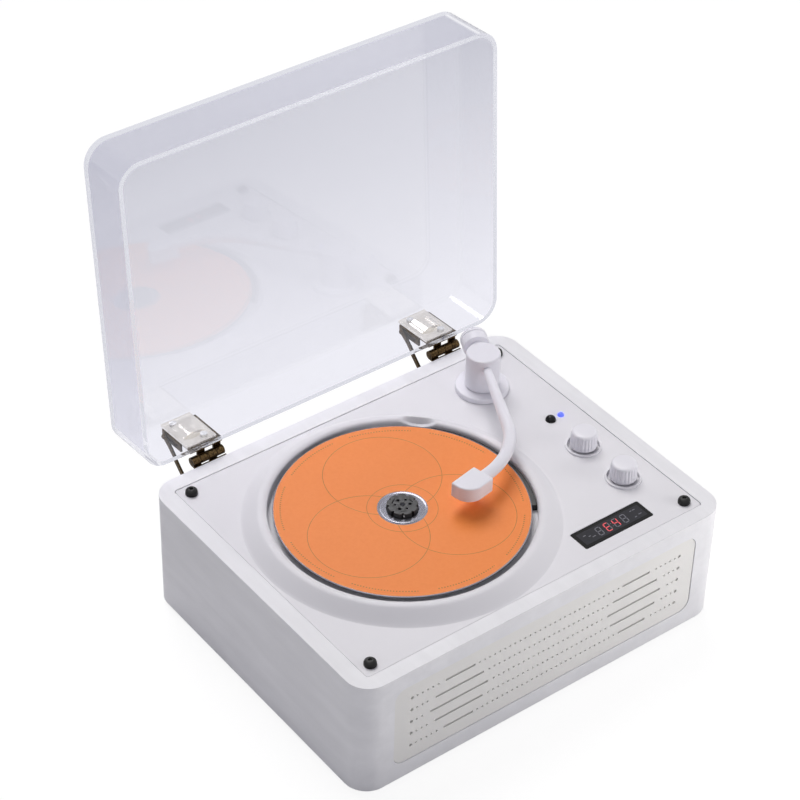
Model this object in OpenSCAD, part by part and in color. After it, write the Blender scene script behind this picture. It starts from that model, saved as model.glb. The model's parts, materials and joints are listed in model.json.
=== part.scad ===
/* [Cabinet] */
// Width of the cabinet, left to right
cab_w = 212; // [200:1:240]
// Depth of the cabinet, front to back
cab_d = 167.5; // [160:0.5:190]
// Height of the cabinet walls
cab_h = 64; // [60:1:80]
// Radius of the cabinet's upright corners
cab_r = 12; // [9:0.5:16]
// Thickness of the side walls
side_wall = 8.6; // [6:0.2:10]
// Thickness of the front and back walls
end_wall = 8; // [6:0.2:10]
// Thickness of the base plate
base_t = 3; // [2:0.5:4]
// Height of the rubber feet
foot_h = 2; // [1:0.5:6]
// Radius of the rubber feet
foot_r = 7; // [5:0.5:9]
// How far the feet stand in from the cabinet's sides
foot_inset = 28; // [24:1:34]
// Side of the square corner blocks
block_w = 14; // [12:0.5:16]

/* [Deck] */
// Thickness of the deck panel
deck_t = 2.5; // [2:0.1:3]
// How far the deck lies below the cabinet's rim
deck_drop = 0.2; // [0:0.1:1]
// Gap around each panel set into another piece
panel_gap = 0.2; // [0.1:0.05:0.4]
// Distance of the deck screws from the deck opening's sides
deck_screw_inset = 6; // [5:0.5:7]
// Radius of the black plugs over the deck screws
plug_r = 3; // [2.6:0.1:3.4]
// Height of the black plugs
plug_h = 3; // [2:0.2:4]

/* [Disc well] */
// Disc centre, left of the cabinet's centre
well_x = -21.4; // [-22:0.1:-18]
// Disc centre, behind the cabinet's centre
well_y = -0.5; // [-1:0.1:1]
// Gap between the disc and the well's wall
well_gap = 3; // [2:0.1:4]
// Width of the raised collar, from the well's wall outwards
collar_w = 11.6; // [9:0.1:12]
// Width of the collar's flat crest
crest_w = 3.8; // [3.2:0.1:5]
// Height of the collar's crest above the deck
collar_h = 5.8; // [5.4:0.1:6.4]
// Start angle of the black liner, from the right
liner_from = -32; // [-45:1:-20]
// End angle of the black liner
liner_to = 40; // [30:1:50]
// Middle angle of the finger notch
notch_a = 46; // [44:1:60]
// Width of the finger notch
notch_w = 15; // [10:1:20]

/* [Disc] */
// Radius of the disc
disc_r = 60; // [59:0.5:60.5]
// Radius of the disc's centre hole
disc_bore_r = 7.5; // [7.5:0.05:7.8]
// Thickness of the disc
disc_t = 1.2; // [1:0.1:1.5]
// Height of the disc's underside above the deck
disc_rise = 3.8; // [3.6:0.1:4.4]
// Running clearance between a shaft or hub and its bore
run_fit = 0.05; // [0.02:0.01:0.08]

/* [Tonearm] */
// Post axis, right of the cabinet's centre
arm_x = 68.5; // [66:0.5:71]
// Post axis, behind the cabinet's centre
arm_y = 53; // [50:0.5:53.5]
// Radius of the post's round base
arm_base_r = 13.4; // [11:0.2:14]
// Height of the post's round base
arm_base_h = 2.7; // [2:0.1:3.5]
// Radius of the post
post_r = 8.5; // [7.5:0.1:9]
// Height of the post's top above the deck
post_top = 22; // [21:0.5:23]
// Height of the tube's centreline above the deck
tube_z = 17; // [16.5:0.5:17.5]
// Heading of the straight part of the tube
tube_heading = 244.5; // [243:0.5:246]
// Length of the straight part, from the post's axis
tube_run = 49.9; // [48:0.1:51]
// Radius of the tube's bend
tube_bend_r = 41.9; // [40:0.1:44]
// Angle of the tube's bend
tube_bend = 53.5; // [52:0.5:55]
// Radius of the tube at the post
tube_r1 = 2.1; // [1.8:0.1:2.5]
// Radius of the tube along its bend
tube_r2 = 3; // [2.6:0.1:3.2]
// Length of the headshell
head_l = 16; // [14:0.5:18]
// Width of the headshell
head_w = 12; // [11:0.5:13]
// Height of the headshell
head_h = 8; // [7:0.5:8.5]
// Radius of the headshell's one round corner
head_round = 8; // [4:0.5:9]
// Radius of the counterweight
weight_r = 6.75; // [6:0.05:7]
// Length of the counterweight
weight_l = 8.5; // [6:0.5:9]
// Distance of the counterweight's far end from the post's axis
weight_reach = 21.5; // [20:0.5:21.5]
// Height of the counterweight's axis above the deck
weight_z = 15; // [14:0.5:15]

/* [Controls] */
// Distance of the knobs right of the cabinet's centre
knob_x = 80; // [76:0.5:82]
// Volume knob, behind the cabinet's centre
volume_y = -10.6; // [-14:0.2:-8]
// Select knob, behind the cabinet's centre
select_y = -39.5; // [-42:0.5:-36]
// Radius of a knob at its top
knob_r1 = 6.2; // [5.6:0.1:6.6]
// Radius of a knob at its foot
knob_r2 = 6.6; // [6.2:0.1:7]
// Height of a knob
knob_h = 8.7; // [7:0.1:10]
// Gap under a knob
knob_gap = 0.8; // [0.7:0.1:1.5]
// Number of grip flutes on a knob
flutes = 24; // [16:1:30]
// Depth of a grip flute
flute_depth = 0.35; // [0.2:0.05:0.5]
// Outer radius of the ring around a knob
ring_r = 8.9; // [8.4:0.1:9.4]
// Inner radius of the ring around a knob
ring_bore = 7.75; // [7.4:0.05:8]
// Height of the ring around a knob
ring_h = 1; // [0.6:0.1:1.4]
// Radius of the knob shafts
shaft_r = 3; // [2.5:0.1:3.2]
// Travel of the select knob when pressed
press = 0.5; // [0.3:0.1:0.6]
// Remote sensor and lamp, behind the cabinet's centre
sensor_y = 13.8; // [12:0.2:16]
// Radius of the remote sensor's dome
sensor_r = 2.5; // [2:0.1:2.8]
// Distance from the remote sensor to the lamp
lamp_pitch = 6.4; // [5.6:0.2:8]
// Radius of the status lamp
lamp_r = 1.5; // [1:0.1:2]

/* [Display] */
// Width of the display window
win_w = 41; // [38:1:44]
// Depth of the display window, front to back
win_d = 12; // [11:0.5:13]
// Window centre, right of the cabinet's centre
win_x = 53.6; // [52:0.2:55]
// Window centre, behind the cabinet's centre
win_y = -62; // [-63:0.5:-60]
// Thickness of the display window
win_t = 1.2; // [1:0.1:1.6]
// Number of digits in the display
digits = 4; // [3:1:4]

/* [Front grille] */
// Width of the grille panel's opening
grille_w = 176; // [168:1:180]
// Height of the grille panel's opening
grille_h = 46; // [44:1:50]
// Corner radius of the grille panel
grille_r = 6; // [5:0.5:8]
// Thickness of the grille panel
grille_t = 3; // [2:0.2:3.6]
// How far the grille panel lies behind the cabinet's face
grille_drop = 0.4; // [0.2:0.1:1]
// Width of the ledge that the grille panel rests on
grille_ledge = 3; // [2:0.5:4]
// Rows of perforations
rows = 5; // [3:2:5]
// Distance between the rows
row_pitch = 7.35; // [7:0.05:8]
// Distance between the small holes in a row
hole_pitch = 2.9; // [2.8:0.05:3.4]
// Radius of the small holes
hole_r = 0.55; // [0.4:0.05:0.7]
// Small holes on each side of a row's middle
row_half_count = 27; // [24:1:28]
// Distance of each slot group from the middle
slot_x = 51.5; // [48:0.5:54]
// Half length of the middle slot
slot_half = 16.3; // [14:0.1:18]
// Width of a slot
slot_w = 0.9; // [0.7:0.1:1.6]
// Thickness of the dust cloth
cloth_t = 0.4; // [0.3:0.1:0.6]
// Radius of the speaker frames
speaker_r = 19.5; // [18:0.5:19.6]
// Depth of the speakers, without their magnets
speaker_d = 13; // [11:0.5:15]
// Radius of the speaker magnets
magnet_r = 15; // [12:0.5:16]
// Thickness of the speaker magnets
magnet_t = 9; // [7:0.5:11]

/* [Lid] */
// Width of the lid
lid_w = 210; // [206:1:212]
// Depth of the lid, front to back when closed
lid_d = 163; // [161:0.5:164]
// Height of the lid
lid_h = 28.8; // [28:0.2:34]
// Wall thickness of the lid
lid_wall = 2.3; // [2:0.1:2.5]
// Radius of the lid's upright corners
lid_r = 12; // [9:0.5:14]
// Gap under the closed lid
lid_gap = 0.3; // [0.3:0.1:0.6]
// Angle that the lid opens to
lid_open = 94; // [90:1:98]
// Distance of each hinge from the middle
hinge_x = 71; // [66:0.5:74]
// Length of a hinge's barrel
hinge_l = 18; // [16:0.5:20]
// Radius of a hinge's barrel
barrel_r = 2.3; // [2:0.1:2.4]
// Hinge axis, behind the cabinet's back face
hinge_back = 3.6; // [3.5:0.1:4]
// Hinge axis, above the cabinet's rim
hinge_rise = 1; // [0.8:0.1:1.2]
// Thickness of the hinge leaves, their ears and the stay arms
leaf_t = 1; // [0.8:0.1:1.1]
// Length of the leaf on the cabinet
cab_leaf_l = 18; // [17.5:0.5:24]
// Length of the leaf on the lid
lid_leaf_l = 23; // [22:0.5:24]
// Width of the clear pads inside the lid
pad_w = 16.5; // [14:0.5:17]
// Height of the clear pads' rounded middle
pad_h = 3.2; // [2.4:0.1:3.2]
// Radius of the stay arms' pivots
rivet_r = 1; // [0.8:0.1:1.1]
// Width of the stay arms
stay_w = 2.6; // [2.4:0.1:2.8]

/* [Mechanism] */
// Width of the chassis plate
chassis_w = 60; // [58:1:64]
// Thickness of the chassis plate
chassis_t = 1.2; // [1:0.1:1.5]
// Height of the rubber dampers
damper_h = 3.1; // [2.8:0.1:3.4]
// Radius of the spindle motor
motor_r = 12; // [10:0.5:12.5]
// Height of the spindle motor
motor_h = 11; // [9:0.5:12]
// Radius of the spindle shaft
spindle_r = 1; // [0.8:0.1:1.2]
// Radius of the platter under the disc
platter_r = 14.5; // [13:0.5:15]
// Height of the hub's nose above the disc
nose_h = 2.4; // [2:0.1:3]
// Distance of the lens from the spindle at rest
lens_start = 25; // [24:0.5:26]
// Travel of the pickup sled
sled_travel = 30; // [26:1:30]
// Half length of the pickup sled
sled_half = 11; // [10:0.5:11]
// Distance of each guide rod from the spindle
rod_x = 20; // [19:0.5:20.5]
// Radius of the guide rods
rod_r = 1.5; // [1.2:0.1:1.6]
// Depth of the rods below the chassis plate
rod_drop = 5.2; // [5.2:0.1:6]
// Distance of the lead screw from the spindle
screw_x = 25.5; // [25:0.5:26]
// Radius of the lead screw
screw_r = 1.5; // [1.2:0.1:1.6]
// Radius of the sled motor
sled_motor_r = 5; // [4:0.5:5]

/* [Electronics] */
// Thickness of the circuit boards
board_t = 1.6; // [1:0.1:2]
// Height of the main board's standoffs
standoff_h = 6; // [5:0.5:8]
// Length of the battery pack
pack_l = 70; // [66:1:72]
// Diameter of one battery cell
cell_d = 18.4; // [18:0.1:18.6]
// Radius of the audio jack's bore
jack_r = 1.8; // [1.75:0.05:1.8]
// Length of the audio jack's bore
jack_l = 14; // [12:0.5:16]
// Width of the rear port plate
port_w = 50; // [46:1:56]
// Height of the rear port plate
port_h = 15; // [14:0.5:17]
// Thickness of the rear port plate
port_t = 2; // [1.6:0.1:2.4]
// Distance of the rear ports' centre from the cabinet's right side
port_inset = 51; // [48:1:56]

/* [Hidden] */
$fn = 64;
eps = 0.01;

// Cabinet levels and inner opening
rim_z = foot_h + cab_h;
in_w = cab_w - 2 * side_wall;
in_d = cab_d - 2 * end_wall;
in_r = 1.5;
floor_z = foot_h + base_t;
front_y = -cab_d / 2;
back_y = cab_d / 2;

// Radial clearance of a close fit, gaps between neighbours, and how far a cut runs past a face
fit = 0.05;
close_gap = 0.2;
side_gap = 0.3;
edge_gap = 1;
wall_gap = 3;
over = 1;

// Pan-head screws of the deck, the base and the chassis
screw_rad = 1.5;
screw_head_r = 2.3;
screw_head_h = 1.2;
head_room = 0.1;
deck_screw_l = 13;
base_screw_l = 11;
pilot_l = 12;
chassis_screw_bite = 1.6;

// Screws of the hinge leaves: two in each leaf, with flat heads
leaf_screw_r = 1;
leaf_screw_l = 5;
leaf_head_r = 1.8;
leaf_head_h = 0.7;
leaf_screw_levels = [6.5, 13];

// Deck levels, and places of the corner blocks and screws
deck_z = rim_z - deck_drop;
deck_under = deck_z - deck_t;
disc_z = deck_z + disc_rise;
disc_top = disc_z + disc_t;
block_x = in_w / 2 - block_w;
block_y = in_d / 2 - block_w;
block_cut = in_r + 0.5;
block_outline = [[block_x, block_y], [in_w / 2, block_y], [in_w / 2, in_d / 2 - block_cut],
    [in_w / 2 - block_cut, in_d / 2], [block_x, in_d / 2]];
screw_x_at = in_w / 2 - deck_screw_inset;
screw_y_at = in_d / 2 - deck_screw_inset;
foot_edge = 0.6;
foot_lip = 0.5;
plug_pit = 0.5;

// Radii of the well and its collar, and the liner beside the disc
well_r = disc_r + well_gap;
collar_r = well_r + collar_w;
crest_r = well_r + crest_w;
notch_l = 8;
notch_floor = 1.5;
liner_lap = 1.5;
liner_drop = 0.6;

// Mechanism levels, and the chassis plate's bearings and cut-outs
chassis_top = deck_under - damper_h;
chassis_z = chassis_top - chassis_t;
rod_z = chassis_z - rod_drop;
floor_bore = platter_r + 1.5;
holder = 9;
slot_half_w = 12.5;
slot_end = lens_start + sled_travel + holder / 2 + 1;
tab_t = 2;
tab_front = lens_start - sled_half - 4.5;
tab_back = lens_start + sled_travel + sled_half + 2;
damper_r = 3;
damper_x = 26.5;
damper_y = [-18, tab_back - 10];
chassis_edge = 5;
chassis_gap_half = 15;
bearing_edge = 3;
bearing_reach = 4;

// Spindle motor's boss, the end walls of both motors and the play of their shafts
boss_r = 5;
boss_rise = 1;
motor_end = 1;
end_play = 0.3;
sled_motor_l = 14;

// Hub: platter, neck inside the disc's hole and the three notches of its nose
hub_r = disc_bore_r - 0.08;
platter_h = 3;
platter_rim = 1.2;
hub_neck = 0.6;
hub_taper = 1;
hub_notch = 3;
hub_notch_in = 2.2;

// Pickup sled and lens
sled_half_h = 2.8;
housing_w = 22;
housing_d = 18;
lens_r = 3;
lens_z = disc_z - 3.1;
lens_rim = 0.5;
lens_h = 1.2;

// Hinge axis and the closed lid's level
hinge_y = back_y + hinge_back;
hinge_z = rim_z + hinge_rise;
lid_z = rim_z + lid_gap;
lid_back = lid_d / 2;
knuckles = 4;
knuckle_gap = 0.3;
knuckle_l = hinge_l / knuckles - knuckle_gap;
pin_r = 0.9;
cab_leaf_top = 1.3;
lid_leaf_z = rim_z + 0.9;
lid_leaf_top = lid_leaf_z + lid_leaf_l;

// Clear pads inside the lid, and the screws at both ends of each pad
pad_x = -2;
pad_from = 1;
pad_to = 24;
pad_mid_from = 7.2;
pad_mid_to = 18;
pad_foot = 1.4;
pad_round = 12;
pad_screws = [[-5.5, 20.5], [1.5, 4.5]];
pad_head_h = 0.8;

// Ears of the hinge leaves and the stay arms between them
ear_w = 3;
ear_x = -hinge_l / 2 - leaf_t;
ear_reach = 4.6;
ear_foot = 7;
ear_slot_y = [1.8, 3.4];
ear_slot_z = [10, 20.5];
ear_slot_floor = 0.2;
stay_x = ear_x - side_gap - leaf_t;
pivot_y = 0.8;
pivot_z = -14;
tip_y = 20;
tip_z = 2.2;
knee_y = 15.5;
knee_z = -0.6;
rivet_head_h = 0.6;
eye_r = stay_w / 2 + 0.25;

// Grille levels, the steps between its slots' lengths, and the cloth behind it
grille_z = foot_h + cab_h / 2;
grille_y = front_y + grille_drop;
cloth_y = grille_y + grille_t;
cloth_gap = 0.5;
speaker_y = cloth_y + cloth_t;
slot_step = 2.7;
slot_end_step = 2.5;

// Speakers: sheet of the frame, and radii of the cone at its coil and at its rim
frame_sheet = 1.2;
frame_rim = 1.6;
frame_lip = 3;
cone_r1 = 5;
cone_r2 = speaker_r - 3.3;

// Frame: the origin is on the floor, below the middle of the whole object's depth
lid_reach = hinge_y + (lid_d / 2 + hinge_y) * -cos(lid_open)
    + (lid_z + lid_h - hinge_z) * sin(lid_open);
mid_y = (front_y + lid_reach) / 2;

// Main board and battery places on the base plate
board_z = floor_z + standoff_h;
board_top = board_z + board_t;
port_x = cab_w / 2 - port_inset;
board_w = 80;
board_d = 62;
board_x = port_x - 13;
board_y = in_d / 2 - wall_gap - board_d / 2;
standoff_r = 3;
standoff_bore = 1.2;
standoff_inset = 4;
standoffs = [for (x = [-1, 1], y = [-1, 1])
    [board_x + x * (board_w / 2 - standoff_inset), board_y + y * (board_d / 2 - standoff_inset)]];
pack_x = -50;
pack_y = 25;
rib_half = 1;
rib_h = 9;
cell_end = 1;
wrap_drop = 3;

// Pieces on the main board: two chips, three capacitors and a connector
chip_at = [-22, -8];
chip_side = 14;
small_chip_at = [6, -12];
small_chip = [10, 6];
chip_h = 1.4;
cap_at = [-32, 16];
cap_pitch = 9;
cap_r = 3.2;
cap_h = 9;
header_at = [26, -20];
header = [12, 6];
header_h = 6;

// Ports: the audio jack and the supply inlet on both sides of the ports' centre
port_r = 2;
port_ledge = 2.5;
jack_off = 14;
jack_half = 4;
jack_up = 3;
jack_body_l = 13;
jack_wall = 1.2;
jack_z = board_top + jack_half;
inlet_off = 12;
inlet_half = 6;
inlet_up = 2.5;
inlet_body_l = 9;
inlet_w = 9.4;
inlet_h = 3.6;
inlet_r = 1.7;
inlet_wall = 0.4;
inlet_l = 6;

// Control board: an L that leaves room for the front right corner block
control_z = deck_under - 9;
control_top = control_z + board_t;
control_left = win_x - win_w / 2 - 2.1;
control_step = 17;
control_back = 4;
control_post_r = 2.5;
post_inset = 4.4;
control_posts = [[control_left + post_inset, sensor_y + control_back - post_inset],
    [in_w / 2 - post_inset, (volume_y + sensor_y) / 2], [control_left + post_inset, win_y + win_d],
    [in_w / 2 - post_inset, select_y - control_step + control_post_r]];

// Threaded bushes, bodies and shafts of the two controls, and the knobs on them
bush_r = 3.5;
ring_recess = 1.2;
bush_wall_top = deck_z - close_gap;
control_half = 5.5;
knob_z = deck_z + knob_gap;
knob_edge = 0.6;
knob_cap = 2.5;
knob_shaft_top = knob_z + knob_h - knob_cap - head_room;
shaft_foot = control_top + 3.3;
plunger_h = 1.6;

// Display window's corners and ledge, and the digits of the module below it
win_r = 0.8;
win_ledge = 1.5;
module_inset = [2.5, 2];
digit = [4.8, 6.8];
digit_pitch = 7;
lens_rise = 0.4;

// Tonearm: bush and shaft below, sockets and stubs in the post, stub in the headshell
arm_bush_r = 5;
arm_bush_l = 3;
arm_shaft_r = 3;
arm_flange_t = 1.1;
base_edge = 0.8;
post_edge = 0.6;
post_cap = 6;
socket_in = 5;
stub_in = 5.5;
neck_r = 4;
weight_edge = 0.5;
head_stub = 6;
head_gap = 3.7;

// Moves the cabinet's middle to its place in the frame
module framed() translate([0, -mid_y, 0]) children();

// Rectangle with round corners, centred
module round_rect(w, d, r) {
    square([w - 2 * r, d], center = true);
    square([w, d - 2 * r], center = true);
    for (x = [-1, 1], y = [-1, 1])
        translate([x * (w / 2 - r), y * (d / 2 - r)]) circle(r);
}

// Upright rod from one level to another
module rod(r, z0, z1) {
    translate([0, 0, z0]) cylinder(r = r, h = z1 - z0);
}

// Rod along +Y from one place to another
module rod_y(r, y0, y1) {
    translate([0, y0, 0]) rotate([-90, 0, 0]) cylinder(r = r, h = y1 - y0);
}

// Rod along +X from one place to another
module rod_x_axis(r, x0, x1) {
    translate([x0, 0, 0]) rotate([0, 90, 0]) cylinder(r = r, h = x1 - x0);
}

// Box between two corners
module block(a, b) {
    translate(a) cube(b - a);
}

// Same child at the four corners given by two half spans
module four(x, y) {
    for (sx = [-1, 1], sy = [-1, 1])
        translate([sx * x, sy * y, 0]) children();
}

// Pan-head screw whose head sits on level z and whose shank goes down
module screw(z, length) {
    rod(screw_head_r, z, z + screw_head_h);
    rod(screw_rad, z - length, z + eps);
}

module cabinet_shell() color("whitesmoke") framed() difference() {
    translate([0, 0, foot_h]) linear_extrude(cab_h) difference() {
        round_rect(cab_w, cab_d, cab_r);
        round_rect(in_w, in_d, in_r);
    }
    translate([0, grille_y + grille_t, grille_z]) rotate([90, 0, 0])
        linear_extrude(end_wall) round_rect(grille_w, grille_h, grille_r);
    translate([0, front_y + end_wall + over, grille_z]) rotate([90, 0, 0])
        linear_extrude(end_wall)
            round_rect(grille_w - 2 * grille_ledge, grille_h - 2 * grille_ledge, grille_ledge);
    translate([port_x, back_y + over, jack_z]) rotate([90, 0, 0])
        linear_extrude(port_t + over) round_rect(port_w, port_h, port_r);
    translate([port_x, back_y + over, jack_z]) rotate([90, 0, 0])
        linear_extrude(end_wall + 2 * over)
            round_rect(port_w - 2 * port_ledge, port_h - 2 * port_ledge, port_r / 2);
    for (s = [-1, 1], z = leaf_screw_levels)
        translate([s * hinge_x, 0, hinge_z - z])
            rod_y(leaf_screw_r + fit, back_y - leaf_screw_l - over, back_y + over);
}

module base_plate() color("dimgray") framed() difference() {
    union() {
        translate([0, 0, foot_h]) linear_extrude(base_t)
            round_rect(in_w - 2 * panel_gap, in_d - 2 * panel_gap, in_r);
        for (p = standoffs)
            translate([p.x, p.y, 0]) rod(standoff_r, floor_z - eps, board_z);
        translate([pack_x, pack_y, 0])
            for (s = [-1, 1])
                block([-pack_l / 2, s * (cell_d + side_gap + rib_half) - rib_half, floor_z - eps],
                      [pack_l / 2, s * (cell_d + side_gap + rib_half) + rib_half, floor_z + rib_h]);
    }
    four(screw_x_at, screw_y_at) {
        rod(screw_rad + fit, foot_h - over, floor_z + over);
        rod(screw_head_r + close_gap, foot_h - over, foot_h + screw_head_h + close_gap);
    }
}

module base_screws() color("silver") framed()
    four(screw_x_at, screw_y_at)
        translate([0, 0, foot_h + screw_head_h + close_gap]) mirror([0, 0, 1]) {
            rod(screw_head_r, 0, screw_head_h);
            rod(screw_rad, -base_screw_l, eps);
        }

module rubber_feet() color("black") framed()
    four(cab_w / 2 - foot_inset, cab_d / 2 - foot_inset) {
        rod(foot_r - foot_edge, 0, foot_h);
        rod(foot_r, foot_lip, foot_h);
    }

module corner_blocks() color("burlywood") framed() difference() {
    for (sx = [-1, 1], sy = [-1, 1])
        translate([0, 0, floor_z]) linear_extrude(deck_under - floor_z)
            polygon([for (p = block_outline) [sx * p.x, sy * p.y]]);
    four(screw_x_at, screw_y_at) {
        rod(screw_rad + fit, floor_z - over, floor_z + pilot_l);
        rod(screw_rad + fit, deck_under - pilot_l, deck_under + over);
    }
}

// Profile of the raised collar around the disc
module collar_profile()
    polygon([[collar_r, 0], [collar_r - 1.4, 0.8], [crest_r + 1.1, collar_h - 0.85],
             [crest_r + 0.4, collar_h - 0.4], [crest_r - 0.4, collar_h - 0.1], [crest_r - 1.2, collar_h],
             [well_r + 1.8, collar_h - 0.04], [well_r + 1.1, collar_h - 0.25], [well_r + 0.5, collar_h - 0.7],
             [well_r + 0.15, collar_h - 1.3], [well_r, collar_h - 2], [well_r, 0]]);

module well_collar() color("white") framed() translate([well_x, well_y, deck_z]) difference() {
    rotate_extrude($fn = 128) collar_profile();
    rotate(notch_a) translate([well_r + over, 0, notch_floor])
        block([-notch_l / 2, -notch_w / 2, 0], [notch_l / 2, notch_w / 2, collar_h]);
}

module deck_panel() color("white") framed() difference() {
    union() {
        translate([0, 0, deck_under]) linear_extrude(deck_t)
            round_rect(in_w - 2 * panel_gap, in_d - 2 * panel_gap, in_r);
        for (y = [volume_y, select_y])
            translate([knob_x, y, 0]) rod(ring_r, deck_z - eps, deck_z + ring_h);
        for (p = control_posts)
            translate([p.x, p.y, 0]) rod(control_post_r, control_top, deck_under + eps);
    }
    for (y = [volume_y, select_y])
        translate([knob_x, y, 0]) {
            rod(ring_bore, deck_z - ring_recess, deck_z + ring_h + over);
            rod(bush_r + fit, deck_under - over, deck_z + over);
        }
    translate([well_x, well_y, 0]) {
        rod(floor_bore, deck_under - over, deck_z + over);
        block([-slot_half_w, 0, deck_under - over], [slot_half_w, slot_end, deck_z + over]);
        for (x = [-1, 1], y = damper_y)
            translate([x * damper_x, y, 0])
                rod(screw_rad + fit, deck_under - over, deck_under + 2 * over);
    }
    four(screw_x_at, screw_y_at) {
        rod(screw_rad + fit, deck_under - over, deck_z + over);
        rod(screw_head_r + head_room, deck_z - screw_head_h - head_room, deck_z + over);
    }
    translate([win_x, win_y, deck_under - over]) linear_extrude(deck_t + 2 * over)
        round_rect(win_w - 2 * win_ledge, win_d - 2 * win_ledge, win_r / 2);
    translate([win_x, win_y, deck_z - win_t]) linear_extrude(win_t + over)
        round_rect(win_w, win_d, win_r);
    translate([knob_x, sensor_y, 0]) rod(sensor_r + fit, deck_under - over, deck_z + over);
    translate([knob_x + lamp_pitch, sensor_y, 0]) rod(lamp_r + fit, deck_under - over, deck_z + over);
    translate([arm_x, arm_y, 0]) rod(arm_bush_r + fit, deck_under - over, deck_z + over);
}

module deck_screws() color("silver") framed()
    four(screw_x_at, screw_y_at) screw(deck_z - screw_head_h - head_room, deck_screw_l);

module screw_plugs() color("black") framed()
    four(screw_x_at, screw_y_at) translate([0, 0, deck_z]) difference() {
        rotate_extrude()
            polygon([[0, 0], [plug_r, 0], [plug_r, plug_h * 0.45], [plug_r * 0.9, plug_h * 0.75],
                     [plug_r * 0.65, plug_h * 0.95], [plug_r * 0.4, plug_h], [0, plug_h]]);
        rod(plug_r * 0.25, plug_h - plug_pit, plug_h + over);
    }

module well_liner() color("black") framed()
    translate([well_x, well_y, deck_z]) rotate(liner_from)
        rotate_extrude(angle = liner_to - liner_from, $fn = 128)
            translate([disc_r - liner_lap, 0])
                square([well_gap - close_gap + liner_lap, disc_rise - liner_drop]);

// One row of perforations, cut where no slot is
function slot_reach(row) = slot_half - abs(row) * slot_step - (abs(row) > 1 ? slot_end_step : 0);
function in_slot(x, row) = abs(abs(x) - slot_x) < slot_reach(row) + slot_w + hole_r;

module perforations()
    for (row = [-(rows - 1) / 2 : (rows - 1) / 2])
        translate([0, row * row_pitch]) {
            for (s = [-1, 1]) {
                translate([s * slot_x, 0]) square([2 * slot_reach(row), slot_w], center = true);
                for (e = [-1, 1])
                    translate([s * slot_x + e * slot_reach(row), 0]) circle(slot_w / 2, $fn = 24);
                translate([s * row_half_count * hole_pitch, 0]) circle(hole_r * 1.5, $fn = 8);
            }
            for (i = [-row_half_count + 1 : row_half_count - 1])
                if (!in_slot(i * hole_pitch, row))
                    translate([i * hole_pitch, 0]) circle(hole_r, $fn = 6);
        }

module front_grille() color("gainsboro") framed()
    translate([0, cloth_y, grille_z]) rotate([90, 0, 0]) linear_extrude(grille_t) difference() {
        round_rect(grille_w - 2 * panel_gap, grille_h - 2 * panel_gap, grille_r - panel_gap);
        perforations();
    }

module grille_cloth() color("black") framed()
    translate([0, speaker_y, grille_z]) rotate([90, 0, 0]) linear_extrude(cloth_t)
        round_rect(grille_w - 2 * (grille_ledge + cloth_gap), grille_h - 2 * (grille_ledge + cloth_gap),
                   grille_ledge);

// Places of the two speakers, looking back from the front
module at_speakers()
    for (s = [-1, 1])
        translate([s * slot_x, speaker_y, grille_z]) children();

module speaker_frames() color("dimgray") framed() at_speakers() rotate([-90, 0, 0]) rotate_extrude()
    polygon([[speaker_r, 0], [speaker_r, frame_rim], [speaker_r - 2, frame_rim], [magnet_r - 2, speaker_d],
             [cone_r1, speaker_d], [cone_r1, speaker_d - frame_sheet],
             [magnet_r - frame_lip, speaker_d - frame_sheet],
             [speaker_r - frame_lip, frame_sheet], [speaker_r - frame_lip, 0]]);

module speaker_cones() color("black") framed() at_speakers() rotate([-90, 0, 0]) rotate_extrude()
    polygon([[0, speaker_d - 3], [cone_r1, speaker_d - 3.4], [cone_r2 - 2.5, 1.4], [cone_r2, 0.3],
             [cone_r2, 0.9], [cone_r2 - 2, 2], [cone_r1 + 0.4, speaker_d - 2.6], [0, speaker_d - 2.2]]);

module speaker_magnets() color("darkgray") framed()
    at_speakers() rod_y(magnet_r, speaker_d, speaker_d + magnet_t);

module display_window() color("black") framed()
    translate([win_x, win_y, deck_z - win_t]) linear_extrude(win_t)
        round_rect(win_w - 2 * fit, win_d - 2 * fit, win_r);

module display_module() color("darkred") framed()
    translate([win_x, win_y, 0]) {
        block([-win_w / 2 + module_inset.x, -win_d / 2 + module_inset.y, control_top],
              [win_w / 2 - module_inset.x, win_d / 2 - module_inset.y, deck_z - win_t - close_gap]);
        for (i = [0 : digits - 1])
            translate([(i - (digits - 1) / 2) * digit_pitch, 0, 0])
                block([-digit.x / 2, -digit.y / 2, deck_z - win_t - close_gap - eps],
                      [digit.x / 2, digit.y / 2, deck_z - win_t - fit]);
    }

module remote_sensor() color("black") framed() translate([knob_x, sensor_y, 0]) {
    rod(sensor_r, control_top, deck_z + lens_rise);
    translate([0, 0, deck_z + lens_rise]) intersection() {
        sphere(sensor_r);
        rod(sensor_r + over, -eps, sensor_r + over);
    }
}

module status_lamp() color("royalblue") framed() translate([knob_x + lamp_pitch, sensor_y, 0]) {
    rod(lamp_r, control_top, deck_z);
    translate([0, 0, deck_z]) intersection() {
        sphere(lamp_r);
        rod(lamp_r + over, -eps, lamp_r + over);
    }
}

module control_board() color("darkgreen") framed() difference() {
    union() {
        block([control_left, select_y - control_step, control_z],
              [in_w / 2 - edge_gap, sensor_y + control_back, control_top]);
        block([control_left, -in_d / 2 + wall_gap, control_z],
              [block_x - edge_gap, select_y - control_step + over, control_top]);
    }
    translate([knob_x, select_y, 0]) rod(shaft_r + 0.5, control_z - over, control_top + over);
}

// Body of a control under the deck, with its bush
module control_body(bore) difference() {
    union() {
        block([-control_half, -control_half, control_top],
              [control_half, control_half, deck_under - side_gap]);
        rod(bush_r, deck_under - side_gap - eps, bush_wall_top);
    }
    rod(bore, control_top + over, bush_wall_top + over);
}

module volume_pot() color("silver") framed()
    translate([knob_x, volume_y, 0]) control_body(shaft_r + run_fit);

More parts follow.
